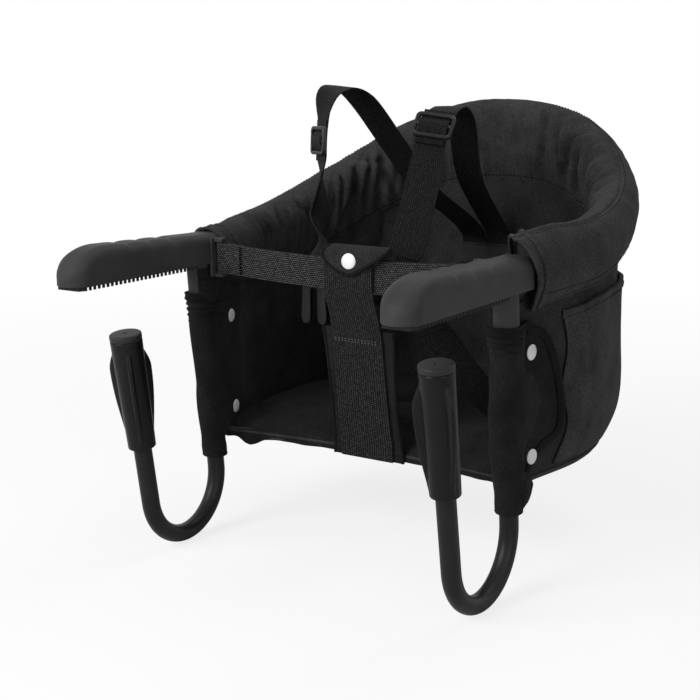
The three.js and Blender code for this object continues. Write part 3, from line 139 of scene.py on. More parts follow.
# Hook tubes: round steel tube of 18 mm, bent to a J and painted satin black. Each hangs from its
# socket under an arm, turns forward under the table and ends in the screw of a twist grip. The hoop
# inside the rim is the same tube.
SIDES = (("left", -1), ("right", 1))
UPRIGHT_X = 173.5
TUBE_R = 9.0
LEAN, TOE_IN, OPENING = (math.radians(a) for a in (4.88, 1.15, 3.71))
HOOK_TOP, HOOK_STRAIGHT, BEND_R, HOOK_LEG = 7.0, 217.5, 53.5, 104.0
LEG_FOOT = np.array([0, -BEND_R * (1 + math.cos(OPENING)), -HOOK_STRAIGHT - BEND_R * math.sin(OPENING)])


def new_finish(name, colour, roughness, **plain):
    """A principled finish: what is even all over sits on the shader's own sockets."""
    finish = bpy.data.materials.new(name)
    finish.use_nodes = True
    shader = finish.node_tree.nodes["Principled BSDF"]
    shader.inputs["Base Color"].default_value = (colour, colour, colour * 1.02, 1)
    shader.inputs["Roughness"].default_value = roughness
    for socket, value in plain.items():
        shader.inputs[socket.replace("_", " ")].default_value = value
    return finish, finish.node_tree, shader


def shades(tree, source, dark, light, low=0.3, high=0.7):
    """Spreads a texture's values over two greys and returns the ramp's output."""
    ramp = add_node(tree, "ValToRGB")
    for element, place, grey in zip(ramp.color_ramp.elements, (low, high), (dark, light)):
        element.position = place
        element.color = (grey, grey, grey * 1.02, 1)
    wire(tree, (source, ramp.inputs["Fac"]))
    return ramp.outputs["Color"]


def moulded(name, colour, roughness, grain_mm, depth_mm, **plain):
    """Paint or plastic with a fine grain: the grain sets its colour, gloss and relief."""
    finish, tree, shader = new_finish(name, colour, roughness, **plain)
    place = add_node(tree, "TexCoord").outputs["Object"]
    grain = add_node(tree, "TexNoise", Scale=1000 / grain_mm, Detail=3.0)
    broad = add_node(tree, "TexNoise", Scale=30.0, Detail=4.0)
    gloss = add_node(tree, "MapRange", To_Min=roughness - 0.07, To_Max=roughness + 0.07)
    relief = add_node(tree, "Bump", Strength=0.5, Distance=depth_mm / 1000)
    tint = shades(tree, broad.outputs["Fac"], colour * 0.86, colour * 1.14)
    wire(tree, (place, grain.inputs["Vector"]), (place, broad.inputs["Vector"]),
         (tint, shader.inputs["Base Color"]), (broad.outputs["Fac"], gloss.inputs["Value"]),
         (gloss.outputs["Result"], shader.inputs["Roughness"]),
         (grain.outputs["Fac"], relief.inputs["Height"]), (relief.outputs["Normal"], shader.inputs["Normal"]))
    return finish


def unit(rows):
    """Vectors, one or many, at a length of one."""
    return rows / np.linalg.norm(rows, axis=-1, keepdims=True)


def round_angles(count):
    return np.linspace(0, 2 * math.pi, count, endpoint=False)


def piece(name, points, faces, finish, cloth_map=None, crease=40, edge_mm=0):
    """A smooth mesh from points in millimetres, faces outward, sharp where it turns by more than crease.

    With edge_mm its square edges are rounded by that much.
    """
    mesh = bpy.data.meshes.new(name)
    mesh.from_pydata((np.asarray(points, float) / 1000).tolist(), [], faces)
    if cloth_map is not None:
        layer = mesh.uv_layers.new(name="cloth_map")
        layer.data.foreach_set("uv", np.asarray(cloth_map, np.float32).ravel())
    shell = bmesh.new()
    shell.from_mesh(mesh)
    bmesh.ops.recalc_face_normals(shell, faces=shell.faces)
    if edge_mm:
        rims = [e for e in shell.edges if e.calc_face_angle() > 1.2]
        bmesh.ops.bevel(shell, geom=rims, offset=edge_mm / 1000, segments=3, profile=0.5, affect="EDGES",
                        clamp_overlap=True)
    shell.to_mesh(mesh)
    shell.free()
    mesh.polygons.foreach_set("use_smooth", [True] * len(mesh.polygons))
    mesh.set_sharp_from_angle(angle=math.radians(crease))
    mesh.materials.append(finish)
    made = bpy.data.objects.new(name, mesh)
    scene.collection.objects.link(made)
    return made


def skin(name, grid, finish, wrap=(False, True), ends="disc", crease=40):
    """Quads over rows of points. The map of the cloth holds real lengths along and across the rows."""
    grid = np.asarray(grid, float)
    rows, columns = grid.shape[:2]
    along = np.linalg.norm(np.roll(grid, -1, 0) - grid, axis=2).mean(1)
    across = np.linalg.norm(np.roll(grid, -1, 1) - grid, axis=2).mean(0)
    u = np.concatenate([[0], np.cumsum(along)]) / 1000
    v = np.concatenate([[0], np.cumsum(across)]) / 1000
    faces, cloth_map = [], []

    def face(spots):
        faces.append([(i % rows) * columns + j % columns for i, j in spots])
        cloth_map.extend((u[i], v[j]) for i, j in spots)

    for i in range(rows if wrap[0] else rows - 1):
        for j in range(columns if wrap[1] else columns - 1):
            face([(i, j), (i, j + 1), (i + 1, j + 1), (i + 1, j)])
    for row in (0, rows - 1):
        if ends == "disc":
            face([(row, j) for j in range(columns)])
        elif ends == "strip":
            last = columns - 1
            for j in range(columns // 2 - 1):
                face([(row, j), (row, j + 1), (row, last - j - 1), (row, last - j)])
    return piece(name, grid.reshape(-1, 3), faces, finish, cloth_map, crease)


def sweep(name, path, radius, finish, sides=24, closed=False):
    """A round bar along a path."""
    path = np.asarray(path, float)
    step = unit(np.roll(path, -1, 0) - np.roll(path, 1, 0) if closed else np.gradient(path, axis=0))
    across = np.cross(step[0], (0.13, 0.31, 0.94))
    turn = round_angles(sides)
    rows = []
    for centre, ahead in zip(path, step):
        across = unit(across - ahead * across.dot(ahead))
        over = np.cross(ahead, across)
        rows.append(centre + radius * (np.cos(turn)[:, None] * across + np.sin(turn)[:, None] * over))
    return skin(name, rows, finish, wrap=(closed, True), ends=None if closed else "disc")


def about_x(angle):
    return np.array([[1, 0, 0], [0, math.cos(angle), -math.sin(angle)], [0, math.sin(angle), math.cos(angle)]])


def about_z(angle):
    return np.array([[math.cos(angle), -math.sin(angle), 0], [math.sin(angle), math.cos(angle), 0], [0, 0, 1]])


def from_hook(side, points):
    """Points given along a hook's own upright, put into the chair's frame."""
    turn = about_x(LEAN) @ about_z(-side * TOE_IN)
    return np.asarray(points, float) @ turn.T + (side * UPRIGHT_X, 0, 0)


def fit(made, replaced=None, body="seat"):
    """Fixes a piece to a body of the chair, in the place of a solid where it stands for one."""
    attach(made, body)
    if replaced:
        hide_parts(replaced)


def refinish(node, finish):
    """A solid that is shown as it is, in a finish of its own."""
    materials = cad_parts[node].data.materials
    materials.clear()
    materials.append(finish)


tube_paint = moulded("tube_paint", 0.0095, 0.4, 1.4, 0.02, Specular_IOR_Level=0.16)
hook_path = [(0, 0, z) for z in np.linspace(HOOK_TOP, -HOOK_STRAIGHT, 24)]
for a in np.linspace(0, math.pi - OPENING, 41)[1:]:
    hook_path.append((0, -BEND_R * (1 - math.cos(a)), -HOOK_STRAIGHT - BEND_R * math.sin(a)))
leg_up = np.array([0, -math.sin(OPENING), math.cos(OPENING)])
hook_path += [tuple(LEG_FOOT + leg_up * d) for d in np.linspace(0, HOOK_LEG, 12)[1:]]
for name, side in SIDES:
    bar = sweep(f"{name}_bent_tube", from_hook(side, hook_path), TUBE_R, tube_paint, 32)
    fit(bar, f"{name}_hook_tube", body=f"{name}_hook")
refinish("hoop_tube", tube_paint)

# Arms: long moulded covers over the ends of the hoop tube, with a bull nose, rounded upper edges
# and notches between the finger rests along the top. They are dark grey with a fine mould grain.
ARM_TIP, ARM_REAR, ARM_LOW, ARM_TOP = -190.0, 21.7, 3.5, 38.0
ARM_HALF, ARM_EDGE, NOSE, REAR_DROP, REAR_RUN = 18.0, 11.0, 46.0, 4.5, 140.0
NOTCH_PITCH, NOTCH_DEPTH, LOW_EDGE, TIP_HALF = 30.0, 1.5, 1.2, 2.5


def arm_top(y):
    start = ARM_TIP + NOSE
    if y < start:
        k = (start - y) / NOSE
        return ARM_LOW + 4 + (ARM_TOP - ARM_LOW - 4) * math.sqrt(max(0, 1 - k * k))
    along = (y - start) / NOTCH_PITCH
    notch = NOTCH_DEPTH * (1 - abs(math.sin(math.pi * along))) ** 1.6 if 0.5 < along < 3.5 else 0
    return ARM_TOP - REAR_DROP * min((y - start) / REAR_RUN, 1) - notch


def arm_section(y):
    k = max(0, ARM_TIP + ARM_HALF - y) / ARM_HALF
    half = max(TIP_HALF, ARM_HALF * math.sqrt(max(0, 1 - k * k)))
    top = arm_top(y)
    edge = min(ARM_EDGE, half * 0.7, (top - ARM_LOW) * 0.8)
    outline = [(half - LOW_EDGE * (1 - math.sin(a)), ARM_LOW + LOW_EDGE * (1 - math.cos(a)))
               for a in np.linspace(0, 1.57, 4)]
    outline += [(half, z) for z in np.linspace(ARM_LOW + LOW_EDGE, top - edge, 5)[1:-1]]
    for a in np.linspace(0, math.pi / 2, 10):
        outline.append((half - edge + edge * math.cos(a), top - edge + edge * math.sin(a)))
    outline += [(x, top) for x in np.linspace(half - edge, 0, 4)[1:-1]]
    return [(x, y, z) for x, z in outline] + [(-x, y, z) for x, z in reversed(outline)]


arm_plastic = moulded("arm_plastic", 0.038, 0.5, 0.7, 0.03, Specular_IOR_Level=0.05)
nose_steps = ARM_TIP + NOSE * (1 - np.cos(np.linspace(0, math.pi / 2, 26)))
arm_steps = np.concatenate([nose_steps, np.linspace(ARM_TIP + NOSE, ARM_REAR, 110)[1:]])
for name, side in SIDES:
    cover = skin(f"{name}_arm_cover", np.array([arm_section(y) for y in arm_steps]) + (side * UPRIGHT_X, 0, 0),
                 arm_plastic, crease=55)
    fit(cover, f"{name}_arm_body")

# Soles: rubber strips let into the underside of the arms, moulded with a plain lip in front and a comb
# of ribs along both edges behind it. They rest on the table top and keep the arms from sliding.
SOLE_FRONT, SOLE_REAR, SOLE_LIP, SOLE_HALF = -184.0, -22.0, 8.0, 16.4
SOLE_PLATE, SOLE_TOP, SOLE_EDGE = 3.2, 4.4, 1.2
SOLE_RIBS, RIB_REACH, RIB_DEPTH = 27, 1.3, 3.3
RIB_GAP = ((0.02, 0), (0.07, RIB_DEPTH), (0.57, RIB_DEPTH), (0.62, 0))


def sole_rows(profile, comb):
    """Rows across a sole along (y, underside) points: the comb along its edge, or the whole width."""
    rows = []
    for y, low in profile:
        k = max(0, ARM_TIP + ARM_HALF - y) / ARM_HALF
        half = min(SOLE_HALF, ARM_HALF * math.sqrt(1 - k * k) - SOLE_EDGE)
        inner = half - RIB_REACH if comb else -half
        rows.append([(x, y, z) for x, z in ((inner, low), (half, low), (half, SOLE_TOP), (inner, SOLE_TOP))])
    return np.array(rows)


sole_rubber = moulded("sole_rubber", 0.018, 0.72, 0.9, 0.03, Specular_IOR_Level=0.1)
lip_end = SOLE_FRONT + SOLE_LIP
lip_profile = [(SOLE_FRONT, 0.8), (SOLE_FRONT + 0.6, 0.0), (lip_end, 0.0), (lip_end + 0.4, SOLE_PLATE),
               (SOLE_REAR, SOLE_PLATE)]
rib_pitch = (SOLE_REAR - lip_end) / SOLE_RIBS
rib_profile = [(lip_end - 1, 0.0)]
for i in range(SOLE_RIBS):
    rib_profile += [(lip_end + (i + share) * rib_pitch, z) for share, z in RIB_GAP]
rib_profile.append((SOLE_REAR, 0.0))
for name, side in SIDES:
    place = np.array([side * UPRIGHT_X, 0, 0])
    sole = skin(f"{name}_ribbed_sole", sole_rows(lip_profile, comb=False) + place, sole_rubber)
    for label, mirror in (("left", -1), ("right", 1)):
        ribs = sole_rows(rib_profile, comb=True) * (mirror, 1, 1)
        comb = skin(f"{name}_sole_{label}_ribs", ribs + place, sole_rubber)
        comb.parent = sole
    fit(sole, f"{name}_arm_pad")

# Sockets: moulded collars under the rear of each arm, with a web behind them, in the plastic of the
# arms. A hook turns in each. The belt's brackets on the inner faces of the arms are of the same plastic.
COLLAR_OUT, COLLAR_IN, COLLAR_TOP, COLLAR_END = 12.8, 9.3, 3.0, -28.0
COLLAR = ((COLLAR_IN, COLLAR_TOP), (COLLAR_OUT, COLLAR_TOP), (COLLAR_OUT, COLLAR_END + 1),
          (COLLAR_OUT - 0.3, COLLAR_END + 0.3), (COLLAR_OUT - 1, COLLAR_END), (COLLAR_IN, COLLAR_END))
WEB_HALF = 3
WEB_SIDE = ((10.6, 3.2), (21.4, 3.2), (21.4, -3), (20.6, -6), (14.4, -22), (13.2, -23.4), (11, -23.6))


def turned(outline, count):
    """Rings of a turned piece that stands upright, from its (radius, height) outline."""
    return np.array([[(r * math.cos(a), r * math.sin(a), z) for a in round_angles(count)] for r, z in outline])


for name, side in SIDES:
    place = np.array([side * UPRIGHT_X, 0, 0])
    collar = skin(f"{name}_socket_collar", turned(COLLAR, 48) @ about_x(LEAN).T + place,
                  arm_plastic, wrap=(True, True), ends=None)
    web_rows = [[place + (x * k, y, z) for y, z in WEB_SIDE]
                for x, k in ((-WEB_HALF, 0.8), (-WEB_HALF, 1), (WEB_HALF, 1), (WEB_HALF, 0.8))]
    web = skin(f"{name}_socket_web", web_rows, arm_plastic)
    web.parent = collar
    fit(collar, f"{name}_socket")
    refinish(f"{name}_belt_bracket", arm_plastic)

# Twist grips: tapered nylon sleeves with three leaf-shaped fins to turn them by. A nut inside runs
# on the hook's screw spindle, so that a turn lifts or lowers the foot.
GRIP_LENGTH, GRIP_LOW_R, GRIP_HIGH_R, FIN_R = 112.0, 13.7, 15.6, 22.5
FIN_FOOT, FIN_CREST, FIN_HEAD = 3.0, 79.0, 102.0
GRIP_BORE = ((11.3, GRIP_LENGTH), (11.3, 53.0), (9.3, 53.0), (9.3, 0.0))
GRIP_SET = {"left": (62.5, -48), "right": (74.0, -30)}
BLADE_FOOT, BLADE_EASE, GRIP_EDGE = 11, 7, 0.8
FIN_STEPS = (*np.linspace(-60, -15, 9), *np.linspace(-14, 14, 17), *np.linspace(15, 58, 9))


def from_grip(side, height, points):
    """Points given up a hook's free leg from the grip's lower end, put into the chair's frame."""
    return from_hook(side, (np.asarray(points, float) + (0, 0, height)) @ about_x(OPENING).T + LEG_FOOT)


def clamp(k):
    return min(max(k, 0), 1)


def ease(k):
    """From nothing to one, level at both ends."""
    return clamp(k) ** 2 * (3 - 2 * clamp(k))


def fin_height(t):
    if not FIN_FOOT < t < FIN_HEAD:
        return 0.0
    k = (t - FIN_FOOT) / (FIN_CREST - FIN_FOOT) if t < FIN_CREST else (FIN_HEAD - t) / (FIN_HEAD - FIN_CREST)
    return math.sin(k * math.pi / 2) ** 1.2


def grip_ring(t, turned_by):
    end = min(t, GRIP_LENGTH - t)
    base = GRIP_LOW_R + (GRIP_HIGH_R - GRIP_LOW_R) * t / GRIP_LENGTH - GRIP_EDGE * max(0, 1 - end) ** 2
    ring = []
    for fin in range(3):
        for d in FIN_STEPS:
            blade = ease((BLADE_FOOT - abs(d)) / BLADE_EASE)
            r = base + blade * fin_height(t) * (FIN_R - base)
            a = math.radians(d + 120 * fin + turned_by)
            ring.append((r * math.cos(a), r * math.sin(a), t))
    return ring


grip_nylon = moulded("grip_nylon", 0.0065, 0.3, 0.8, 0.02, Specular_IOR_Level=0.13)
grip_steps = np.concatenate([[0, 0.3, 0.7, 1.2, 2.2], np.linspace(3.5, 108, 64), [110, 110.8, 111.4, 111.8, 112]])
for name, side in SIDES:
    height, turned_by = GRIP_SET[name]
    rows = [grip_ring(t, turned_by) for t in grip_steps]
    around = unit(np.array(rows[0])[:, :2])
    rows += [np.column_stack([r * around, np.full(len(around), t)]) for r, t in GRIP_BORE]
    handle = skin(f"{name}_finned_grip", [from_grip(side, height, row) for row in rows], grip_nylon,
                  wrap=(True, True), ends=None)
    fit(handle, f"{name}_grip", body=f"{name}_twist_grip")

# Feet: round rubber pads on top of the grips. They press on the underside of the table and stay
# still while the grip turns below them.
FOOT_TOP = 118.0
foot_rubber = moulded("foot_rubber", 0.016, 0.5, 0.6, 0.02, Specular_IOR_Level=0.2)
foot_outline = [(11, 107), (11, 112.3), (15.2, 112.3), (15.6, 112.8), (15.6, 116.6), (15.3, 117.4), (14.6, 117.9),
                (13.8, FOOT_TOP), (9, FOOT_TOP), (2.2, FOOT_TOP), (1.6, FOOT_TOP - 0.8), (0.4, FOOT_TOP - 1.0)]
for name, side in SIDES:
    rings = [from_grip(side, GRIP_SET[name][0], ring) for ring in turned(foot_outline, 56)]
    fit(skin(f"{name}_foot_cap", rings, foot_rubber), f"{name}_foot_pad", body=f"{name}_foot")

# Screws, nuts, plugs and pivot bolts: the screw spindle is fixed in the free end of a hook and runs in a
# brass nut inside the grip. The plug closes a hook's upper end, and the bolt through the arm holds it
# there. All but the nut are of zinc-plated steel.
zinc = moulded("zinc", 0.5, 0.36, 0.5, 0.01, Metallic=1.0)
nut_brass = moulded("nut_brass", 0.42, 0.4, 0.5, 0.01, Metallic=1.0)
nut_brass.node_tree.nodes["Principled BSDF"].inputs["Specular Tint"].default_value = (1, 0.8, 0.4, 1)
for name, _ in SIDES:
    for part in ("hook_plug", "pivot_bolt", "screw_spindle"):
        refinish(f"{name}_{part}", zinc)
    refinish(f"{name}_nut_insert", nut_brass)

# Padded rim: a foam roll in black twill round the hoop tube. Its lining hangs inside as an apron down
# to a quilting seam on the seat wall, and gathers where it is drawn round the back. Its hems and seams
# are sewn in black thread.
HOOP_WIDTH, HOOP_SIDE_END, HOOP_BACK, HOOP_SQUARE = 390.0, 130.0, 350.0, 0.85
HOOP_FRONT_Y, HOOP_FRONT_Z, HOOP_RISE, HOOP_POWER = 22.0, 18.5, 121.0, 2.6
RIM_OUT, RIM_UP, RIM_HANG, APRON_FRONT, APRON_DROP = 23.0, 25.0, 3.0, 34.0, 37.0
WALL_FRONT_Y, WALL_HALF = 32.0, 3.0
SEAT_WIDTH, SEAT_SIDE_END, SEAT_BACK, SEAT_SQUARE = 402.0, 140.0, 334.0, 0.8
FLOOR_WIDTH, FLOOR_BACK, FLOOR_SQUARE = 374.0, 313.0, 0.85
SIDE_SHARE = 0.22
ROLL_POINTS, LOWER_POINT, HEM_POINT, SEAM_POINT, QUILT_POINT = 48, 2, 5, 26, 64


def plan_u(width, side_end, back, squareness, front_y):
    """Half turn round the seat from the right front (0) to the left front (1), seen from above."""
    def at(s):
        side = 1 if s < 0.5 else -1
        t = min(s, 1 - s)
        if t <= SIDE_SHARE:
            k = t / SIDE_SHARE
            x = UPRIGHT_X + (width / 2 - UPRIGHT_X) * ease(k)
            return np.array([side * x, front_y + (side_end - front_y) * k])
        angle = (t - SIDE_SHARE) / (0.5 - SIDE_SHARE) * math.pi / 2
        x = width / 2 * max(math.cos(angle), 0.0) ** squareness
        return np.array([side * x, side_end + (back - side_end) * math.sin(angle) ** squareness])
    return at


hoop_plan = plan_u(HOOP_WIDTH, HOOP_SIDE_END, HOOP_BACK, HOOP_SQUARE, HOOP_FRONT_Y)
rim_plan = plan_u(HOOP_WIDTH, HOOP_SIDE_END, HOOP_BACK, HOOP_SQUARE, WALL_FRONT_Y)
seat_plan = plan_u(SEAT_WIDTH, SEAT_SIDE_END, SEAT_BACK, SEAT_SQUARE, WALL_FRONT_Y)
floor_plan = plan_u(FLOOR_WIDTH, SEAT_SIDE_END, FLOOR_BACK, FLOOR_SQUARE, WALL_FRONT_Y)


def hoop_height(y):
    return HOOP_FRONT_Z + HOOP_RISE * clamp((y - HOOP_FRONT_Y) / (HOOP_BACK - HOOP_FRONT_Y)) ** HOOP_POWER


def plan_normal(plan, s):
    d = plan(min(s + 0.004, 1)) - plan(max(s - 0.004, 0))
    return np.array([d[1], -d[0], 0]) / math.hypot(*d)


def run_along(path):
    """The length along a path at each of its points."""
    return np.concatenate([[0], np.cumsum(np.linalg.norm(np.diff(path, axis=0), axis=1))])


def even_steps(plan, count):
    """Places round a plan that lie at even lengths, with the length at each."""
    dense = np.linspace(0, 1, 2001)
    length = run_along([plan(s) for s in dense])
    steps = np.linspace(0, length[-1], count)
    return np.interp(steps, length, dense), steps


def hump(x, place, width):
    """One at a place, and falling to nothing on both sides of it."""
    return np.exp(-((x - place) / width) ** 2)


def waves(seed, shortest, longest, count):
    """A repeatable uneven ripple over a length in millimetres, about one high."""
    draw = np.random.RandomState(seed)
    lengths = np.exp(draw.uniform(math.log(shortest), math.log(longest), count))
    phases = draw.uniform(0, 2 * math.pi, count)
    weights = (lengths / lengths.max()) ** 0.5
    weights /= math.sqrt((weights ** 2).sum() / 2) * 1.2
    return lambda x: sum(w * np.sin(2 * math.pi * x / l + p) for w, l, p in zip(weights, lengths, phases))


def crumple(seed, shortest, longest, count, lean=1.0):
    """A repeatable uneven relief over two lengths; a lean under one stretches it along the second."""
    draw = np.random.RandomState(seed)
    lengths = np.exp(draw.uniform(math.log(shortest), math.log(longest), count))
    angles = draw.uniform(0, math.pi, count)
    phases = draw.uniform(0, 2 * math.pi, count)
    weights = (lengths / lengths.max()) ** 0.8
    weights /= math.sqrt((weights ** 2).sum() / 2) * 1.2
    def at(x, y):
        total = 0.0
        for w, l, a, p in zip(weights, lengths, angles, phases):
            total = total + w * np.sin(2 * math.pi * (x * math.cos(a) + y * lean * math.sin(a)) / l + p)
        return total
    return at


def multiplied(tree, first, second):
    """Two colours multiplied; returns the result's output."""
    mix = add_node(tree, "Mix")
    mix.data_type, mix.blend_type = "RGBA", "MULTIPLY"
    mix.inputs["Factor"].default_value = 1.0
    wire(tree, (first, mix.inputs["A"]), (second, mix.inputs["B"]))
    return mix.outputs["Result"]


def twill(name, colour, sheen, pitch_mm=1.7):
    """Black twill: fine diagonal ribs, a soft nap, and broad darker and paler patches at random, painted in as
    shade.
    """
    finish, tree, shader = new_finish(name, colour, 0.9, Sheen_Weight=sheen, Sheen_Roughness=0.45,
                                      Specular_IOR_Level=0.06)
    place = add_node(tree, "TexCoord")
    ribs = add_node(tree, "TexWave", Scale=628 / pitch_mm, Distortion=1.2, Detail=1.0)
    ribs.bands_direction = "DIAGONAL"
    nap = add_node(tree, "TexNoise", Scale=620.0, Detail=2.0)
    patches = add_node(tree, "TexNoise", Scale=26.0, Detail=5.0, Roughness=0.62)
    weave = add_node(tree, "Math", "MULTIPLY_ADD")
    weave.inputs[1].default_value = 0.45
    relief = add_node(tree, "Bump", Strength=0.7, Distance=0.0006)
    tint = shades(tree, weave.outputs[0], colour * 0.42, colour * 1.55, 0.42, 0.98)
    # Broad patches, darker and paler at random: painted shade that stands in for the shade of soft folds in the
    # cloth.
    painted_shade_patches = shades(tree, patches.outputs["Fac"], 0.72, 1.28, 0.34, 0.66)
    wire(tree, (place.outputs["UV"], ribs.inputs["Vector"]), (place.outputs["Object"], nap.inputs["Vector"]),
         (place.outputs["Object"], patches.inputs["Vector"]), (ribs.outputs["Fac"], weave.inputs[0]),
         (nap.outputs["Fac"], weave.inputs[2]), (multiplied(tree, tint, painted_shade_patches), shader.inputs["Base Color"]),
         (weave.outputs[0], relief.inputs["Height"]), (relief.outputs["Normal"], shader.inputs["Normal"]))
    return finish


outer_twill = twill("outer_twill", 0.033, 0.012)
lining_twill = twill("lining_twill", 0.022, 0.01)


def rim_outline(apron):
    """Section of the roll as (out, up, gathering): outer hem, over the top, and the apron inside."""
    outline = [(3.4, -33.5, 0), (6.5, -36.2, 0), (10, -36.4, 0.05), (11.4, -35, 0.08), (14.4, -29.5, 0.1),
               (17.7, -23, 0.1), (20.4, -16, 0.1), (22.2, -9.5, 0.1)]
    for a in np.linspace(-0.12, math.pi, ROLL_POINTS - len(outline)):
        gather = 0.1 + 0.9 * clamp((a - 1.75) / 0.9)
        outline.append((RIM_OUT * math.cos(a), RIM_UP * math.sin(a) - RIM_HANG, gather))
    for k in np.linspace(0, 1, 20)[1:]:
        out = -RIM_OUT + (RIM_OUT - WALL_HALF - 2.4) * k ** 1.25 - 1.6 * math.sin(math.pi * k)
        outline.append((out, -RIM_HANG - (apron - RIM_HANG) * k, 1.0 - 0.75 * k ** 3))
    outline += [(-WALL_HALF - 1.2, -apron - 1.0, 0.1), (-WALL_HALF - 0.6, -apron, 0.1)]
    outline += [(-WALL_HALF - 0.5, up, 0.0) for up in np.linspace(-apron + 3, -RIM_UP - RIM_HANG - 1, 4)]
    outline += [(-WALL_HALF + 1, -RIM_UP - RIM_HANG - 0.2, 0.0), (2.5, -RIM_UP - RIM_HANG + 0.1, 0.0)]
    return np.array(outline)


def apron_at(s):
    return APRON_FRONT + APRON_DROP * math.sin(math.pi * s) ** 1.2


rim_steps, rim_lengths = even_steps(hoop_plan, 320)
rim_total = rim_lengths[-1]
gathers = waves(11, 26, 80, 9)
long_wave = waves(5, 70, 190, 6)
fine_gathers = waves(23, 8, 18, 8)
# Fullness of the roll and rise of its lower hem, by the length from its mouth
FULL_RUN, RIGHT_FULL, LEFT_FULL = (0, 50, 120, 200, 280), (0.4, 0.62, 0.42, 0.18, 0), (-0.12, 0, 0, 0, 0)
HEM_RUN, HEM_RISE = (0, 30, 80, 140, 230), (0, 4, 8, 7, 0)
# Where the lining is looser: how much, place round the seat and width
LOOSE_SPOTS = ((1.7, 0.66, 0.05), (0.8, 0.33, 0.06))
# Creases of the gathered lining: place round the seat, depth, width and slant
CREASES = ((0.338, 6.0, 5, 0.5), (0.36, 7.5, 5, -0.6), (0.384, 8.0, 4.5, 0.6), (0.405, 8.0, 5, 0.9),
           (0.428, 6.5, 4, -0.4), (0.452, 4.5, 5, 0.3), (0.548, 3.0, 5, -0.5), (0.585, 4.0, 6, 0.7),
           (0.618, 5.5, 6, -0.8), (0.643, 6.0, 5, -1.3), (0.672, 5.0, 6, 0.8), (0.705, 4.5, 5, 0.5),
           (0.742, 4.0, 5, -0.6), (0.775, 3.5, 4, 0.4), (0.81, 3.0, 4, -0.4))
rim_rows = []
for s, length in zip(rim_steps, rim_lengths):
    spot = hoop_plan(s)
    centre = np.array([spot[0], spot[1], hoop_height(spot[1])])
    out = plan_normal(hoop_plan, s)
    ahead = np.array([-out[1], out[0], 0])
    outline = rim_outline(apron_at(s))
    edge = unit(np.roll(outline[:, :2], -1, 0) - np.roll(outline[:, :2], 1, 0))
    normal = np.stack([edge[:, 1], -edge[:, 0]], axis=1)
    from_mouth = min(length, rim_total - length)
    back = math.sin(math.pi * s) ** 1.5
    loose = 1 + sum(much * hump(s, place, width) for much, place, width in LOOSE_SPOTS)
    order = np.arange(len(outline))
    drift = 4 * np.sin(order * 0.16 + length * 0.013) + 0.25 * (order - 30)
    pinch = np.abs(gathers(length + drift)) ** 0.75 - 0.55
    lift = outline[:, 2] * (2.0 + 0.8 * back) * loose * pinch * min(1, 0.3 + from_mouth / 60)
    lift += outline[:, 2] * 0.5 * fine_gathers(length + 0.6 * drift)
    for place, depth, width, slant in CREASES:
        path = np.interp(place, rim_steps, rim_lengths) + slant * 1.5 * (order - 46) + 2.5 * np.sin(order * 0.35)
        lift -= outline[:, 2] ** 2 * depth * hump(length, path, width)
        lift += outline[:, 2] ** 2 * 0.55 * depth * hump(length, path + 2.1 * width, 1.3 * width)
    lift += 0.6 * long_wave(length) * (outline[:, 2] > 0.07)
    lift -= 1.7 * hump(order, SEAM_POINT, 0.8)
    lift -= 0.9 * hump(order, HEM_POINT + 0.2, 0.5)
    near_mouth = np.interp(from_mouth, FULL_RUN, RIGHT_FULL if s < 0.5 else LEFT_FULL)
    section = outline[:, :2] + normal * lift[:, None]
    section[:, 1] += np.maximum(section[:, 1] + RIM_HANG, 0) * near_mouth
    hem_rise = np.interp(from_mouth, HEM_RUN, HEM_RISE)
    section[:, 1] += hem_rise * np.clip((-18 - section[:, 1]) / 14, 0, 1) * (order < 9)
    tilt = max(0, 1 - from_mouth / 55) ** 2 * (9 - 19 * (section[:, 1] + 28) / 50)
    if s < 0.5:
        inside = np.clip((0.3 * RIM_OUT - section[:, 0]) / (1.3 * RIM_OUT), 0, 1)
        tilt = tilt + 40 * inside ** 1.3 * max(0, 1 - from_mouth / 110) ** 1.5
    forward = tilt if s < 0.5 else -tilt
    row = centre + section[:, :1] * out + section[:, 1:] * np.array([0, 0, 1]) + forward[:, None] * ahead
    rim_rows.append(row)


def grown(row, share):
    """A section of the roll made larger or smaller about its middle."""
    middle = row[:ROLL_POINTS].mean(0)
    return middle + (row - middle) * share


turned_in = [grown(row, 0.8) + (0, 9, 0) for row in (rim_rows[0], rim_rows[-1])]
rim_roll = skin("rim_roll", [turned_in[0], *rim_rows, turned_in[1]], outer_twill, crease=70)
fit(rim_roll, "rim_pad")
for name, row_a, row_b in (("right", rim_rows[0], rim_rows[5]), ("left", rim_rows[-1], rim_rows[-6])):
    for label, row, grow in (("outer", row_a, 1.0), ("inner", row_b, 1.03)):
        fit(sweep(f"{name}_mouth_{label}_hem", grown(row, grow)[3:52], 1.9, outer_twill, 10))
fit(sweep("rim_lower_hem", [row[LOWER_POINT] for row in rim_rows], 1.5, outer_twill, 8))


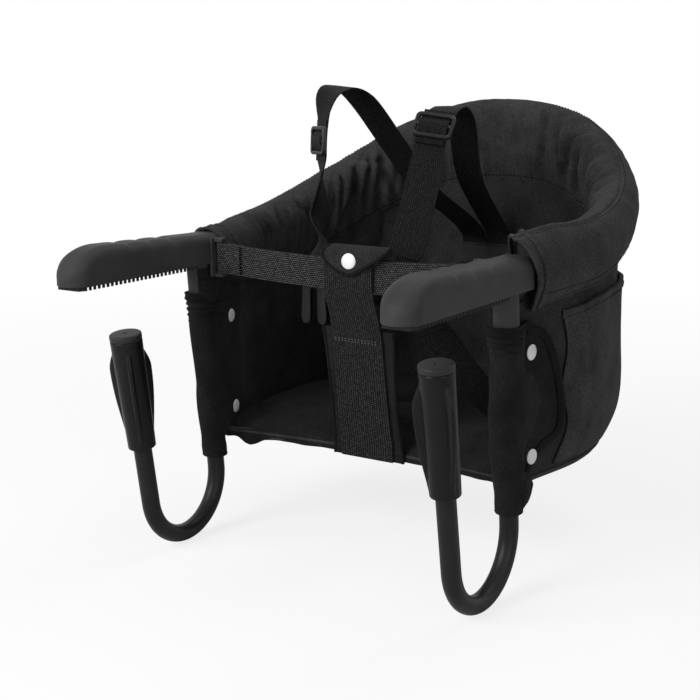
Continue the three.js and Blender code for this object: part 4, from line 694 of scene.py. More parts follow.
def stitches(name, path, out, finish, length_mm=2.6, gap_mm=1.7, thick_mm=0.45):
    """A row of thread stitches laid along a path; out is the side that they lie on."""
    path = np.asarray(path, float)
    run = run_along(path)
    faces, points = [], []
    for start in np.arange(0.5, run[-1] - length_mm, length_mm + gap_mm):
        spots = [np.array([np.interp(d, run, path[:, c]) for c in range(3)])
                 for d in (start, start + 0.3 * length_mm, start + 0.7 * length_mm, start + length_mm)]
        ahead = unit(spots[-1] - spots[0])
        middle = int(np.argmin(abs(run - start)))
        over = np.asarray(out[middle] if np.ndim(out) == 2 else out, float)
        over = unit(over - ahead * over.dot(ahead))
        across = np.cross(ahead, over)
        base = len(points)
        for spot, size, rise in zip(spots, (0.25, 1, 1, 0.25), (0, 0.5, 0.5, 0)):
            for a in round_angles(6):
                round_it = math.cos(a) * across + math.sin(a) * over
                points.append(spot + thick_mm * (size * round_it + rise * over))
        for ring in range(3):
            for k in range(6):
                a, b = base + ring * 6 + k, base + ring * 6 + (k + 1) % 6
                faces.append([a, b, b + 6, a + 6])
        faces.append([base + k for k in range(6)])
        faces.append([base + 18 + k for k in range(6)])
    fit(piece(name, points, faces, finish))


dark_thread = moulded("dark_thread", 0.004, 0.8, 0.4, 0.02, Specular_IOR_Level=0.05)
for name, sewn_rows in (("right", rim_rows[4:150]), ("left", rim_rows[170:-4])):
    path = np.array([row[HEM_POINT] for row in sewn_rows])
    outward = np.stack([path[:, 0], path[:, 1] - SEAT_SIDE_END, np.zeros(len(path))], axis=1)
    stitches(f"{name}_rim_hem_stitches", path + unit(outward) * 0.3, outward, dark_thread)
seam_rows = rim_rows[6:-6]
seam_out = np.array([row[SEAM_POINT - 2] - row[:ROLL_POINTS].mean(0) for row in seam_rows])
stitches("rim_seam_stitches", [row[SEAM_POINT - 2] for row in seam_rows], seam_out, dark_thread)
quilt_out = np.array([-plan_normal(hoop_plan, s) for s in rim_steps[12:-12]])
quilt_path = np.array([row[QUILT_POINT] for row in rim_rows[12:-12]]) + 0.3 * quilt_out
stitches("quilting_stitches", quilt_path, quilt_out, dark_thread, 2.8, 1.8, 0.55)

# Seat wall: two layers of twill with a thin foam between them, sewn to the rim above and to the seat
# below. It stands in soft upright folds, and its front edges are rolled over a cord beside the uprights.
SEAT_Z, RIM_LOW, TUCK = -179.7, RIM_UP + RIM_HANG + 0.6, 55.0
EDGE_HALF, EDGE_DEEP, EDGE_Y, EDGE_LOW = 3.3, 5.8, 28.4, -38.0


def wall_top(s):
    return hoop_height(rim_plan(s)[1]) - RIM_LOW


def wall_point(s, z):
    k = (z - SEAT_Z) / (wall_top(s) - SEAT_Z)
    tuck = clamp(1 - (z - SEAT_Z) / TUCK) ** 2
    spot = (seat_plan(s) * (1 - k) + rim_plan(s) * k) * (1 - tuck) + floor_plan(s) * tuck
    return np.array([spot[0], spot[1], z])


def wall_normal(s):
    return unit(plan_normal(seat_plan, s) + plan_normal(rim_plan, s))


def wall_place(side, y, z):
    low, high = 0.0, 0.5
    for _ in range(30):
        middle = (low + high) / 2
        if wall_point(middle, z)[1] < y:
            low = middle
        else:
            high = middle
    return low if side > 0 else 1 - low


wall_steps, wall_lengths = even_steps(rim_plan, 220)
inner_folds = crumple(31, 22, 120, 14, 0.35)
outer_folds = crumple(37, 30, 140, 12, 0.5)
wall_rows = []
for s, length in zip(wall_steps, wall_lengths):
    n = wall_normal(s)
    heights = np.linspace(SEAT_Z, wall_top(s), 46)
    edge = np.minimum(1, np.minimum(heights - SEAT_Z, wall_top(s) - heights) / 22)
    ends = min(1, max(0, min(length, wall_lengths[-1] - length) - 45) / 40)
    outer = [wall_point(s, z) + n * (WALL_HALF + 0.8 * e * ends * outer_folds(length, z))
             for z, e in zip(heights, edge)]
    ends *= 1 - 0.9 * hump(s, 0.515, 0.05)
    inner = [wall_point(s, z) - n * (WALL_HALF + e * ends * (0.4 + 3.2 * abs(inner_folds(length, z)) ** 0.8))
             for z, e in zip(heights, edge)]
    wall_rows.append(np.array(outer + inner[::-1]))
wall = skin("seat_wall_cloth", wall_rows, lining_twill, ends="strip")
fit(wall, "seat_wall")
edge_rings = turned([(1, z) for z in np.linspace(EDGE_LOW, wall_top(0) - 0.5, 12)], 20)
for name, side in SIDES:
    rings = (edge_rings * (EDGE_HALF, EDGE_DEEP, 1) + (UPRIGHT_X, EDGE_Y, 0)) * (side, 1, 1)
    fit(skin(f"{name}_wall_front_edge", rings, lining_twill))

# Seat underside: the cloth bottom that carries the board and the cushion, rounded where it meets the
# wall, with a piped seam round its edge. The board inside it is a plain moulding.
FRONT_BOW, PIPING_Z = 18.0, -180.6
UNDERSIDE = ((3.2, -180.1), (-2.2, -180.1), (-2.8, -181.2), (-2.6, -183), (-1.2, -185.2), (1.5, -186.7),
             (6, -187.4))


def seat_outline(inset):
    steps, _ = even_steps(floor_plan, 90)
    rim = [floor_plan(s) - plan_normal(floor_plan, s)[:2] * inset for s in steps]
    corner = abs(rim[-1][0])
    front = []
    for k in np.linspace(-1, 1, 42)[1:-1]:
        front.append(np.array([k * corner, WALL_FRONT_Y + FRONT_BOW * (1 - k * k) + max(inset, 0)]))
    return np.array(rim + front)


base_rows = []
for inset, z in UNDERSIDE:
    outline = seat_outline(inset)
    base_rows.append(np.column_stack([outline, np.full(len(outline), z)]))
underside = skin("seat_underside", base_rows, outer_twill)
fit(underside, "seat_base")
edge = seat_outline(-3.0)
piping_path = np.column_stack([edge, np.full(len(edge), PIPING_Z)])
fit(sweep("seat_piping", piping_path, 1.5, outer_twill, 10, closed=True))
refinish("seat_board", arm_plastic)

# Seat cushion: a flat foam pad in twill on the board. The foam fills its cover, so that the top is
# crowned and the sides draw in. A cover of the same twill is turned down over its front edge.
CUSHION_VOXEL, CUSHION_SWELL, CUSHION_PRESSURE = 0.006, 0.005, 4
CUSHION_LOW, CUSHION_SLOPE, FRONT_GAP = -176.4, 46, 4
COVER_HALF, COVER_THICK = 167, 1.2


def puffed(name, source, finish, voxel, swell, pressure):
    """A copy of a solid as a closed cover, blown up by cloth simulation, no point moving over swell."""
    mesh = source.data.copy()
    mesh.name = name
    made = bpy.data.objects.new(name, mesh)
    scene.collection.objects.link(made)
    bpy.context.view_layer.objects.active = made
    mesh.remesh_voxel_size = voxel
    with bpy.context.temp_override(object=made, active_object=made, selected_objects=[made]):
        bpy.ops.object.voxel_remesh()
    mesh = made.data
    mesh.materials.clear()
    mesh.materials.append(finish)
    before = np.array([v.co for v in mesh.vertices])
    cover = made.modifiers.new("cover", "CLOTH")
    cover.settings.use_pressure = True
    cover.settings.uniform_pressure_force = pressure
    cover.settings.effector_weights.gravity = 0
    for frame_number in range(1, 21):
        scene.frame_set(frame_number)
    moved = made.evaluated_get(bpy.context.evaluated_depsgraph_get())
    after = np.array([v.co for v in moved.data.vertices])
    made.modifiers.clear()
    scene.frame_set(1)
    shift = after - before
    size = np.linalg.norm(shift, axis=1)[:, None]
    shift *= np.minimum(1, swell / np.maximum(size, 1e-9))
    mesh.vertices.foreach_set("co", (before + shift).astype(np.float32).ravel())
    shell = bmesh.new()
    shell.from_mesh(mesh)
    for _ in range(8):
        bmesh.ops.smooth_vert(shell, verts=shell.verts, factor=0.5, use_axis_x=True, use_axis_y=True,
                              use_axis_z=True)
    shell.to_mesh(mesh)
    shell.free()
    mesh.polygons.foreach_set("use_smooth", [True] * len(mesh.polygons))
    mesh.update()
    return made


def front_edge_y(x):
    """The bowed front edge of the seat."""
    return WALL_FRONT_Y + FRONT_BOW * (1 - (x / UPRIGHT_X) ** 2) + FRONT_GAP


def outer_normals(front, spot, outward):
    """Normals of a grid of cloth, on the side that outward points to at one spot."""
    normal = unit(np.cross(np.gradient(front, axis=0), np.gradient(front, axis=1)))
    return normal if normal[spot].dot(outward) > 0 else -normal


def doubled(front, back):
    """Both faces of a cloth, row by row; back is the way from its front face to the other one."""
    return np.concatenate([front, (np.asarray(front) + back)[..., ::-1, :]], axis=-2)


cushion_twill = twill("cushion_twill", 0.0118, 0.006)
cushion = puffed("seat_cushion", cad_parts["seat_pad"], cushion_twill, CUSHION_VOXEL, CUSHION_SWELL,
                 CUSHION_PRESSURE)
for vertex in cushion.data.vertices:
    x, y, z = vertex.co * 1000
    full = ease((y - front_edge_y(x) + 3) / CUSHION_SLOPE)
    vertex.co.z = (CUSHION_LOW + (z - CUSHION_LOW) * (0.05 + 0.95 * full)) / 1000
cushion.data.update()
cloth_map = cushion.data.uv_layers.new(name="cloth_map")
corners = [cushion.data.vertices[loop.vertex_index].co.xy for loop in cushion.data.loops]
cloth_map.data.foreach_set("uv", [length for corner in corners for length in corner])
fit(cushion, "seat_pad")
COVER_BEHIND = (42, 36, 30, 24, 16, 9, 3, -1.5, -4.2, -5, -4, 0.5, 6)
COVER_Z = (-162.4, -161.6, -162.2, -164.2, -167.2, -170, -172.6, -175.6, -179.2, -182.8, -186, -188.4, -189)
cover_ripple, cover_sway = waves(81, 18, 70, 8), waves(83, 40, 120, 6)
cover_rows = []
for x in np.linspace(-COVER_HALF, COVER_HALF, 150):
    row = []
    for behind, z in zip(COVER_BEHIND, COVER_Z):
        low = clamp((-172 - z) / 12)
        tuck = 6.5 * low * hump(x, -143, 10) + 0.22 * low * cover_ripple(x)
        y = front_edge_y(x) + behind
        row.append((x, y + 0.5 * low * cover_sway(x) - 0.4 * tuck * (x < -100), z - tuck))
    cover_rows.append(row)
front = np.array(cover_rows)
normal = outer_normals(front, (75, 5), (0, -1, 0))
cover = skin("seat_front_cover", doubled(front, -COVER_THICK * normal), cushion_twill, ends="strip")
fit(cover)

# Side sleeves: the front edge of each seat wall wraps round a hook's upright. Its bound flap lies
# back on the outside of the wall and is closed by two press studs, so that the cover comes off. A small
# cheek of the same twill closes the gap under the arm.
SLEEVE_TOP, SLEEVE_END, SLEEVE_R, FLAP_LIFT, INNER_REACH = -27.6, -205.0, 11.4, 5.0, 84.0
FOLD_Z = (-40, -46, -58, -68, -84, -104, -121, -137, -163, -172, -182)
FOLD_Y = (24, 24, 26, 28, 46, 56, 48, 34, 28, 36, 44)
FLAP_EDGE_Z = (-33, -36, -40, -46, -55, -70, -90, -112, -130, -142, -148, -153, -160, -168, -178, -190, -200)
FLAP_EDGE_Y = (40, 54, 62, 69, 75, 81, 87, 91, 91, 88, 80, 68, 58, 50, 42, 36, 27)
STUD_SPOTS = (("upper", 43, -58), ("lower", 48, -158))
SLEEVE_THICK, BAND_THICK, BAND_ROWS, BAND_FROM, CHEEK_R = 1.3, 1.6, 5, 12, 15.4
INNER_END_Z, FLAP_END_Z = -168.0, -194.0
LOOSE = {"left": 1.2, "right": 2.3}
FOLD_SEEDS = {"left": (43, 49, 71), "right": (41, 47, 73)}


def flap_edge(z):
    return float(np.interp(-z, [-v for v in FLAP_EDGE_Z], FLAP_EDGE_Y))


def on_wall(side, y, z, lift):
    high = min(max(z, SEAT_Z), wall_top(0.1))
    s = wall_place(side, y, high)
    spot = wall_point(s, high) + wall_normal(s) * lift
    return np.array([spot[0], spot[1], z])


def bind_edge(name, side, path, width, lift, thick, finish):
    """A flat binding along an edge drawn as (y, z) on the wall, turned in by its width."""
    path = np.asarray(path, float)
    step = unit(np.gradient(path, axis=0))
    inward = np.stack([step[:, 1], -step[:, 0]], axis=1)
    if inward[len(path) // 2][0] > 0:
        inward = -inward
    section = ((-0.9, 0), (-0.3, thick * 0.8), (width * 0.3, thick), (width * 0.7, thick), (width, thick * 0.5))
    rows = []
    for spot, turn in zip(path, inward):
        front = [on_wall(side, *(spot + turn * d), lift + rise) for d, rise in section]
        back = [on_wall(side, *(spot + turn * d), lift - 0.6) for d, _ in section]
        rows.append(np.array(front + back[::-1]))
    fit(skin(name, rows, finish, ends="strip", crease=60))


sleeve_twill = twill("sleeve_twill", 0.0115, 0.008)
binding_tape = twill("binding_tape", 0.008, 0.005, 1.2)
for name, side in SIDES:
    tube_seed, flap_seed, web_seed = FOLD_SEEDS[name]
    tube_folds = crumple(tube_seed, 26, 90, 10, 0.8)
    flap_folds = crumple(flap_seed, 16, 60, 10)
    web_folds = crumple(web_seed, 24, 70, 8)
    rows = []
    for z in np.linspace(SLEEVE_TOP, SLEEVE_END, 84):
        centre_y = -math.tan(LEAN) * z
        gone, left_off = ease((INNER_END_Z - z) / 14), ease((FLAP_END_Z - z) / 10)
        loose = LOOSE[name] * min(1, (SLEEVE_TOP - z) / 10 + 0.2) * min(1, (z - SLEEVE_END) / 14 + 0.2)

        def on_tube(a, z=z, centre_y=centre_y, loose=loose):
            r = SLEEVE_R + 1.0 + loose * max(0, 0.5 + tube_folds(a * 16 - 0.5 * z, z))
            r += 3.6 * math.exp((z - SLEEVE_TOP) / 50) * max(0, -0.84 * side * math.cos(a) - 0.55 * math.sin(a))
            r += 1.5 * math.sin(1.05 * z + 1.5 * math.sin(a)) * hump(z, -43, 12)
            return np.array([side * (UPRIGHT_X + r * math.cos(a)), centre_y + r * math.sin(a), z])

        row = []
        for k in np.linspace(0, 1, 14)[:-1]:
            y = INNER_REACH + (centre_y - INNER_REACH) * k
            free = on_wall(side, max(y, WALL_FRONT_Y + 0.4), z, -WALL_HALF + 2.2 * max(0, 1 - 5 * k))
            clear = 1 - sum(math.exp(-((y - at_y) ** 2 + (z - at_z) ** 2) / 260) for _, at_y, at_z in STUD_SPOTS)
            slanting = max(0, math.sin((0.86 * y - 0.51 * z) / 4.4 + 0.8 * web_folds(y, z)))
            slanting *= math.exp((z + 28) / 90)
            free[0] -= side * ((SLEEVE_R + 1.5 - WALL_HALF) * (0.3 * k + 0.7 * k ** 2.2)
                               + 4 * k * (1 - k) * max(0, clear) * (2.2 * slanting + max(0, web_folds(y, z))))
            free[1] = y
            row.append(free * (1 - gone) + on_tube(math.radians(96 + 84 * k)) * gone)
        row += [on_tube(math.pi * (1 + k)) for k in np.linspace(0, 1, 19)]

        def on_flap(y, swell, z=z):
            """The outer cloth: it bridges from the tube back to the fold line, then lies on the wall."""
            spot = on_wall(side, y, z, FLAP_LIFT + swell)
            fold = (np.interp(-z, [-v for v in FOLD_Z], FOLD_Y) - y) / 6 + 0.5
            spot[0] += side * max(0, UPRIGHT_X + SLEEVE_R + 2.4 - abs(spot[0])) * ease(fold)
            return spot

        start_y = min(WALL_FRONT_Y + 2, flap_edge(z) - 1)
        start = on_flap(start_y, 0)
        for k in np.linspace(0, 1, 6)[1:]:
            free = on_tube(0) * (1 - k) + start * k
            free = free + np.array([side * 0.8 * math.sin(math.pi * k), 0, 0])
            row.append(free * (1 - left_off) + on_tube(math.radians(30 * k)) * left_off)
        for k in np.linspace(0, 1, 13)[1:]:
            y = start_y + (flap_edge(z) - start_y) * k
            swell = 0.7 * max(0, flap_folds(y, z)) * math.sin(math.pi * min(k, 0.9) / 0.9)
            row.append(on_flap(y, swell) * (1 - left_off) + on_tube(math.radians(30 + 54 * k)) * left_off)
        rows.append(row)
    front = np.array(rows)
    normal = outer_normals(front, (40, 22), (0, -1, 0))
    sleeve = skin(f"{name}_sleeve_cloth", doubled(front, -SLEEVE_THICK * normal), sleeve_twill, ends="strip")
    fit(sleeve, f"{name}_side_sleeve")
    band_front, band_normal = front[:BAND_ROWS, BAND_FROM:], normal[:BAND_ROWS, BAND_FROM:]
    band_rows = doubled(band_front + 1.1 * band_normal, -BAND_THICK * band_normal)
    fit(skin(f"{name}_sleeve_top_band", band_rows, binding_tape, ends="strip"))
    cheek_rows = []
    for z in np.linspace(-1.5, SLEEVE_TOP - 8, 12):
        row = [(side * (UPRIGHT_X - CHEEK_R - 0.9 * math.sin(0.35 * (z + 0.5 * y))), y, z)
               for y in np.linspace(34, 2 - math.tan(LEAN) * z, 9)]
        for a in np.linspace(math.pi, 1.32 * math.pi, 9)[1:]:
            reach = CHEEK_R - 1.6 * (a - math.pi) + 0.7 * math.sin(0.9 * z + 2 * a)
            x, y = side * (UPRIGHT_X + reach * math.cos(a)), reach * math.sin(a) - math.tan(LEAN) * z
            row.append((x, y, z))
        cheek_rows.append(doubled(row, (side * 0.9, 0.3, 0)))
    cheek = skin(f"{name}_sleeve_cheek", cheek_rows, sleeve_twill, ends="strip")
    fit(cheek)
    edge_path = [(31, -28), (36, -30)] + [(flap_edge(z), z) for z in np.linspace(-33, -176, 70)]
    bind_edge(f"{name}_flap_binding", side, edge_path, 8.0, FLAP_LIFT + 0.7, 1.7, binding_tape)
    for label, z, grow, thick in (("top", SLEEVE_TOP - 1.2, 1.3, 1.1), ("end", SLEEVE_END + 1.4, 0.9, 1.1),
                                  ("seam", SLEEVE_END + 10, 0.6, 0.6)):
        ring = turned([(SLEEVE_R + grow, z)], 40)[0] + (side * UPRIGHT_X, -math.tan(LEAN) * z, 0)
        fit(sweep(f"{name}_sleeve_{label}_hem", ring, thick, sleeve_twill, 8, closed=True))

# Storage pocket: a panel of twill round the outside of the back, sewn to the wall along its ends and
# foot and open along its hemmed top. It stands a little off the wall, with shallow folds.
POCKET_FRONT, POCKET_TOP, POCKET_LOW = 96.0, -16.0, -174.0
POCKET_LIFT, POCKET_ENDS, POCKET_THICK = 5.2, 3.9, 1.6
POCKET_TOP_LINE = ((96, 130, 232), (-26, -20.5, POCKET_TOP))
POCKET_HEM = ((1.7, 0.9), (1.9, 0.2), (1.9, -6.2), (1.4, -7), (-1.2, -7), (-2.4, -6.4), (-2.4, 0.4), (-1.6, 1.2))
pocket_start = wall_place(1, POCKET_FRONT, POCKET_LOW)
pocket_folds = crumple(53, 26, 130, 14, 0.6)
rows = []
for u in np.linspace(0, 1, 170):
    s = pocket_start + (1 - 2 * pocket_start) * u
    n = wall_normal(s)
    ends = math.sin(min(1, min(u, 1 - u) * 9) * math.pi / 2)
    column = []
    top_z = np.interp(wall_point(s, POCKET_TOP)[1], *POCKET_TOP_LINE)
    for z in np.linspace(POCKET_LOW, top_z, 40):
        v = (z - POCKET_LOW) / (top_z - POCKET_LOW)
        swell = ends * math.sin(min(1, v * 2.2) * math.pi / 2) * (2.0 + 0.7 * pocket_folds(u * 900, z))
        wander = (0.007 * math.sin(z * 0.08) - 0.012 * max(0, (-130 - z) / 44)) * (0.5 - u) * 2 * (1 - ends)
        lift = POCKET_ENDS + (POCKET_LIFT - POCKET_ENDS) * ends + max(0, swell)
        column.append(wall_point(s + wander, z) + n * lift)
    rows.append((np.array(column), n))
pocket_rows = [doubled(column, -POCKET_THICK * n) for column, n in rows]
pocket = skin("pocket_panel", pocket_rows, outer_twill, ends="strip")
fit(pocket, "back_pocket")
hem_rows = []
for column, n in rows:
    hem_rows.append([column[-1] + n * (out - 0.4) + (0, 0, up) for out, up in POCKET_HEM])
fit(skin("pocket_hem", hem_rows, outer_twill))
hem_path = [column[-1] + n * 1.6 - (0, 0, 5.4) for column, n in rows[2:-2]]
stitches("pocket_hem_stitches", hem_path, np.array([n for _, n in rows[2:-2]]), dark_thread)
for name, column in (("right", rows[0][0]), ("left", rows[-1][0])):
    fit(sweep(f"{name}_pocket_seam", column, 0.9, binding_tape, 8))

# Press studs: caps and studs pressed from bright metal. A cap is riveted through the flap of a sleeve
# and snaps onto a stud, whose base shows on the inside of the seat wall.
stud_metal = moulded("stud_metal", 0.66, 0.34, 0.5, 0.01, Metallic=0.15)
CAP = ((2, -0.6), (6.6, -0.6), (7.4, -0.2), (7.5, 0.3), (7.3, 0.8), (6.6, 1.15), (5.3, 1.4), (3, 1.6), (0.6, 1.66))
STUD_BASE = ((2, 0.6), (6.4, 0.6), (7, 0.2), (7, -0.3), (6.5, -0.8), (5.3, -1.15), (3, -1.4), (0.6, -1.5))


def turned_on(name, outline, spot, out, finish):
    """A turned piece whose axis stands along out at a spot."""
    out = unit(np.asarray(out, float))
    across = unit(np.cross(out, (0, 0, 1)))
    return skin(name, turned(outline, 36) @ np.array([across, np.cross(out, across), out]) + spot, finish)


for name, side in SIDES:
    for label, y, z in STUD_SPOTS:
        s = wall_place(side, y, z)
        spot, out = wall_point(s, z), wall_normal(s)
        cap = turned_on(f"{name}_{label}_cap", CAP, spot + out * (FLAP_LIFT + 1.6), out, stud_metal)
        stud = turned_on(f"{name}_{label}_stud", STUD_BASE, spot - out * (WALL_HALF + 3.0), out, stud_metal)
        fit(cap, f"{name}_{label}_snap_cap")
        fit(stud, f"{name}_{label}_snap_stud")

# Front belt: heavy webbing across the front, looped round the bars of the arm brackets and sewn back
# on itself. It sags a little in the middle.
BELT_HALF, BELT_THICK, BELT_Y, BELT_END_Z, BELT_SAG, BAR_X = 15.0, 1.8, 3.0, 10.0, 5.5, 145.7
BELT_LOOP, BAR_R, LOOP_GAP = 28.0, 2.5, 0.5


def webbing(name, colour, rib_mm, thread_mm):
    """Coarse black webbing: thick yarns laid like bricks, dark between them."""
    finish, tree, shader = new_finish(name, colour, 0.7, Sheen_Weight=0.01, Specular_IOR_Level=0.08)
    place = add_node(tree, "TexCoord")
    yarns = add_node(tree, "TexBrick", Scale=1.0, Mortar_Size=0.0006, Mortar_Smooth=0.6, Bias=0.0,
                     Brick_Width=thread_mm / 1000, Row_Height=rib_mm / 1000,
                     Color1=(colour * 3.0, colour * 3.0, colour * 3.03, 1),
                     Color2=(colour * 1.3, colour * 1.3, colour * 1.32, 1),
                     Mortar=(colour * 0.05, colour * 0.05, colour * 0.05, 1))
    uneven = add_node(tree, "TexNoise", Scale=420.0, Detail=1.0)
    shift = add_node(tree, "VectorMath", "MULTIPLY_ADD")
    shift.inputs[1].default_value = (0.0009, 0.0009, 0)
    fuzz = add_node(tree, "TexNoise", Scale=1200.0, Detail=2.0)
    relief = add_node(tree, "Bump", Strength=0.8, Distance=0.0006)
    relief.invert = True
    tint = multiplied(tree, yarns.outputs["Color"], shades(tree, fuzz.outputs["Fac"], 0.75, 1.2))
    wire(tree, (place.outputs["UV"], uneven.inputs["Vector"]), (uneven.outputs["Color"], shift.inputs[0]),
         (place.outputs["UV"], shift.inputs[2]), (shift.outputs["Vector"], yarns.inputs["Vector"]),
         (place.outputs["Object"], fuzz.inputs["Vector"]), (tint, shader.inputs["Base Color"]),
         (yarns.outputs["Fac"], relief.inputs["Height"]), (relief.outputs["Normal"], shader.inputs["Normal"]))
    return finish


belt_webbing = webbing("belt_webbing", 0.031, 1.9, 2.6)
strap_webbing = webbing("strap_webbing", 0.009, 2.1, 2.4)
ribbed_webbing = webbing("ribbed_webbing", 0.0145, 2.5, 2.3)
belt_turn = BAR_R + 0.3 + BELT_THICK / 2
half_route = [(BAR_X - BELT_LOOP * k, BELT_Y + BELT_THICK + LOOP_GAP) for k in np.linspace(1, 0.2, 6)]
for a in np.linspace(math.pi / 2, -math.pi / 2, 13):
    half_route.append((BAR_X + belt_turn * math.cos(a), BELT_Y + belt_turn * math.sin(a)))
half_route += [(BAR_X - BELT_LOOP * k, BELT_Y) for k in np.linspace(0.5, 1, 5)]
half_route += [((BAR_X - BELT_LOOP) * (1 - k), BELT_Y) for k in np.linspace(0, 1, 22)[1:]]
belt_route = np.array(half_route + [(-x, y) for x, y in reversed(half_route[:-1])])


def belt_middle(x):
    return BELT_END_Z - BELT_SAG * max(0, 1 - (x / BAR_X) ** 2)


belt_rows = []
for (x, y), (ahead_x, ahead_y) in zip(belt_route, unit(np.gradient(belt_route, axis=0))):
    n = np.array([ahead_y, -ahead_x, 0]) * BELT_THICK / 2
    edge = np.array([(x, y, belt_middle(x) + h) for h in np.linspace(-BELT_HALF, BELT_HALF, 9)])
    belt_rows.append(doubled(edge + n, -2 * n))
belt = skin("front_belt_webbing", belt_rows, belt_webbing, ends="strip")
fit(belt, "front_belt")
for name, side in SIDES:
    for shift in (0, 1.6):
        x = side * (BAR_X - BELT_LOOP + 2 + shift)
        row = [(x, BELT_Y - BELT_THICK / 2 - 0.3, belt_middle(x) + h) for h in np.linspace(-14.5, 14.5, 8)]
        stitches(f"{name}_belt_stitches_{shift:.0f}", row, (0, -1, 0), dark_thread, 2.6, 0.6, 0.75)

# Crotch strap: broad webbing that hangs in front of the belt and leans back to the front of the seat.
# From half way down it is sewn to a wider bound panel of twill.
STRAP_HALF, STRAP_THICK, STRAP_TOP, STRAP_Y = 27.0, 2.2, 27.0, -1.1
STRAP_FOOT_Y, STRAP_FOOT_Z, STRAP_BEND_Z, STRAP_END_Z = 42.8, -187.5, -12.5, -174.0
STRAP_TOP_X, STRAP_FOOT_X = 9.5, 3.0
STRAP_DOWN = (-0.2, 0, 0.1, 0.29, 0.48, 0.66, 0.85, 1, 1.2)
STRAP_LEAN = (0, 0, 0.2, 0.45, 0.57, 0.7, 0.85, 1, 1)
PANEL_HALF, PANEL_TOP, PANEL_SHIFT, PANEL_SEAM_Z = 40.0, -51.0, 2.8, -61.0


def crotch_line(top, shift, count):
    """Rows of (y, z, middle x) down the strap, bent softly back from the belt to the seat's front."""
    line = []
    for z in (*np.linspace(top, STRAP_END_Z, count), *np.linspace(STRAP_END_Z, STRAP_FOOT_Z, 4)[1:]):
        k = (z - STRAP_BEND_Z) / (STRAP_END_Z - STRAP_BEND_Z)
        lean = np.interp(k + np.linspace(-0.06, 0.06, 9), STRAP_DOWN, STRAP_LEAN).mean()
        middle = STRAP_TOP_X + (STRAP_FOOT_X - STRAP_TOP_X) * clamp(k)
        line.append((STRAP_Y + (STRAP_FOOT_Y - STRAP_Y) * lean + shift, z, middle))
    return np.array(line)


def hung_strip(name, line, half_at, thick, finish, ripple=None):
    """A strip of cloth down a line; half_at gives its half width at each height."""
    rows = []
    for (y, z, middle), (ahead_y, ahead_z) in zip(line, unit(np.gradient(line[:, :2], axis=0))):
        n = np.array([0, ahead_z, -ahead_y])
        if n[1] > 0:
            n = -n
        front = []
        for k in np.linspace(-1, 1, 13):
            rise = 0 if ripple is None else ripple(k * half_at(z), z)
            front.append(np.array([middle + k * half_at(z), y, z]) + n * (thick / 2 + rise))
        rows.append(doubled(front, -thick * n))
    return skin(name, rows, finish, ends="strip")


def strap_half(z):
    return STRAP_HALF + 3 * clamp((STRAP_BEND_Z - z) / 160)


def panel_half(z):
    return PANEL_HALF - 2.5 * math.sin(math.pi * clamp((PANEL_TOP - z) / 136))


panel_ripple = crumple(61, 24, 90, 8)
pale_thread = moulded("pale_thread", 0.07, 0.75, 0.4, 0.02, Specular_IOR_Level=0.1)
strap_line = crotch_line(STRAP_TOP, 0, 70)
strap = hung_strip("crotch_strap_webbing", strap_line, strap_half, STRAP_THICK, ribbed_webbing)
fit(strap, "crotch_strap")
panel_line = crotch_line(PANEL_TOP, PANEL_SHIFT, 50)
panel = hung_strip("crotch_panel_cloth", panel_line, panel_half, STRAP_THICK, sleeve_twill,
                   ripple=lambda x, z: 0.25 * max(-0.8, panel_ripple(x, z)) * (abs(x) > STRAP_HALF + 4))
fit(panel, "crotch_panel")
for name, side in SIDES:
    path = [(middle + side * panel_half(z), y - 0.4, z) for y, z, middle in panel_line]
    fit(sweep(f"{name}_panel_binding", path, 1.9, binding_tape, 10))
for shift in (0, 2.4):
    seam_z = PANEL_SEAM_Z - shift
    seam_y, seam_x = (float(np.interp(-seam_z, -strap_line[:, 1], strap_line[:, c])) for c in (0, 2))
    row = [(seam_x + x, seam_y - STRAP_THICK / 2 - 0.4, seam_z) for x in np.linspace(-26, 26, 20)]
    stitches(f"panel_stitches_{shift:.0f}", row, (0, -1, 0), pale_thread, 2.4, 1.4, 0.7)

# Crotch tab: a tab of twill with a bound edge, sewn behind the belt. It is folded forward over the
# belt's top and snapped to the strap with a press stud, so that strap and belt stay together.
TAB_TOP, TAB_BACK_Z, TAB_FRONT_Y, TAB_BACK_Y, TAB_THICK = 33.0, -8.0, -4.8, 5.2, 1.8
TAB_LEFT, TAB_RIGHT = -8.0, 57.0
TAB_HEIGHTS = (6, 7, 8, 11, 15, 19, 23, 27, 30, 33)
TAB_LEFT_EDGE = (11, 6, 3, -4, -10, -13.5, -15.5, -15.5, -13, TAB_LEFT)
TAB_RIGHT_EDGE = (15, 18, 20, 26, 33, 40, 46.5, 52, 56, TAB_RIGHT)
TAB_FRONT_LOW, TAB_STUD_X, TAB_STUD_Z = 6.1, 14, 19
tab_radius = (TAB_BACK_Y - TAB_FRONT_Y) / 2


def tab_edges(z):
    return np.interp(z, TAB_HEIGHTS, TAB_LEFT_EDGE), np.interp(z, TAB_HEIGHTS, TAB_RIGHT_EDGE)


def tab_bend(a):
    return TAB_FRONT_Y + tab_radius + tab_radius * math.cos(a), TAB_TOP - tab_radius + tab_radius * math.sin(a)


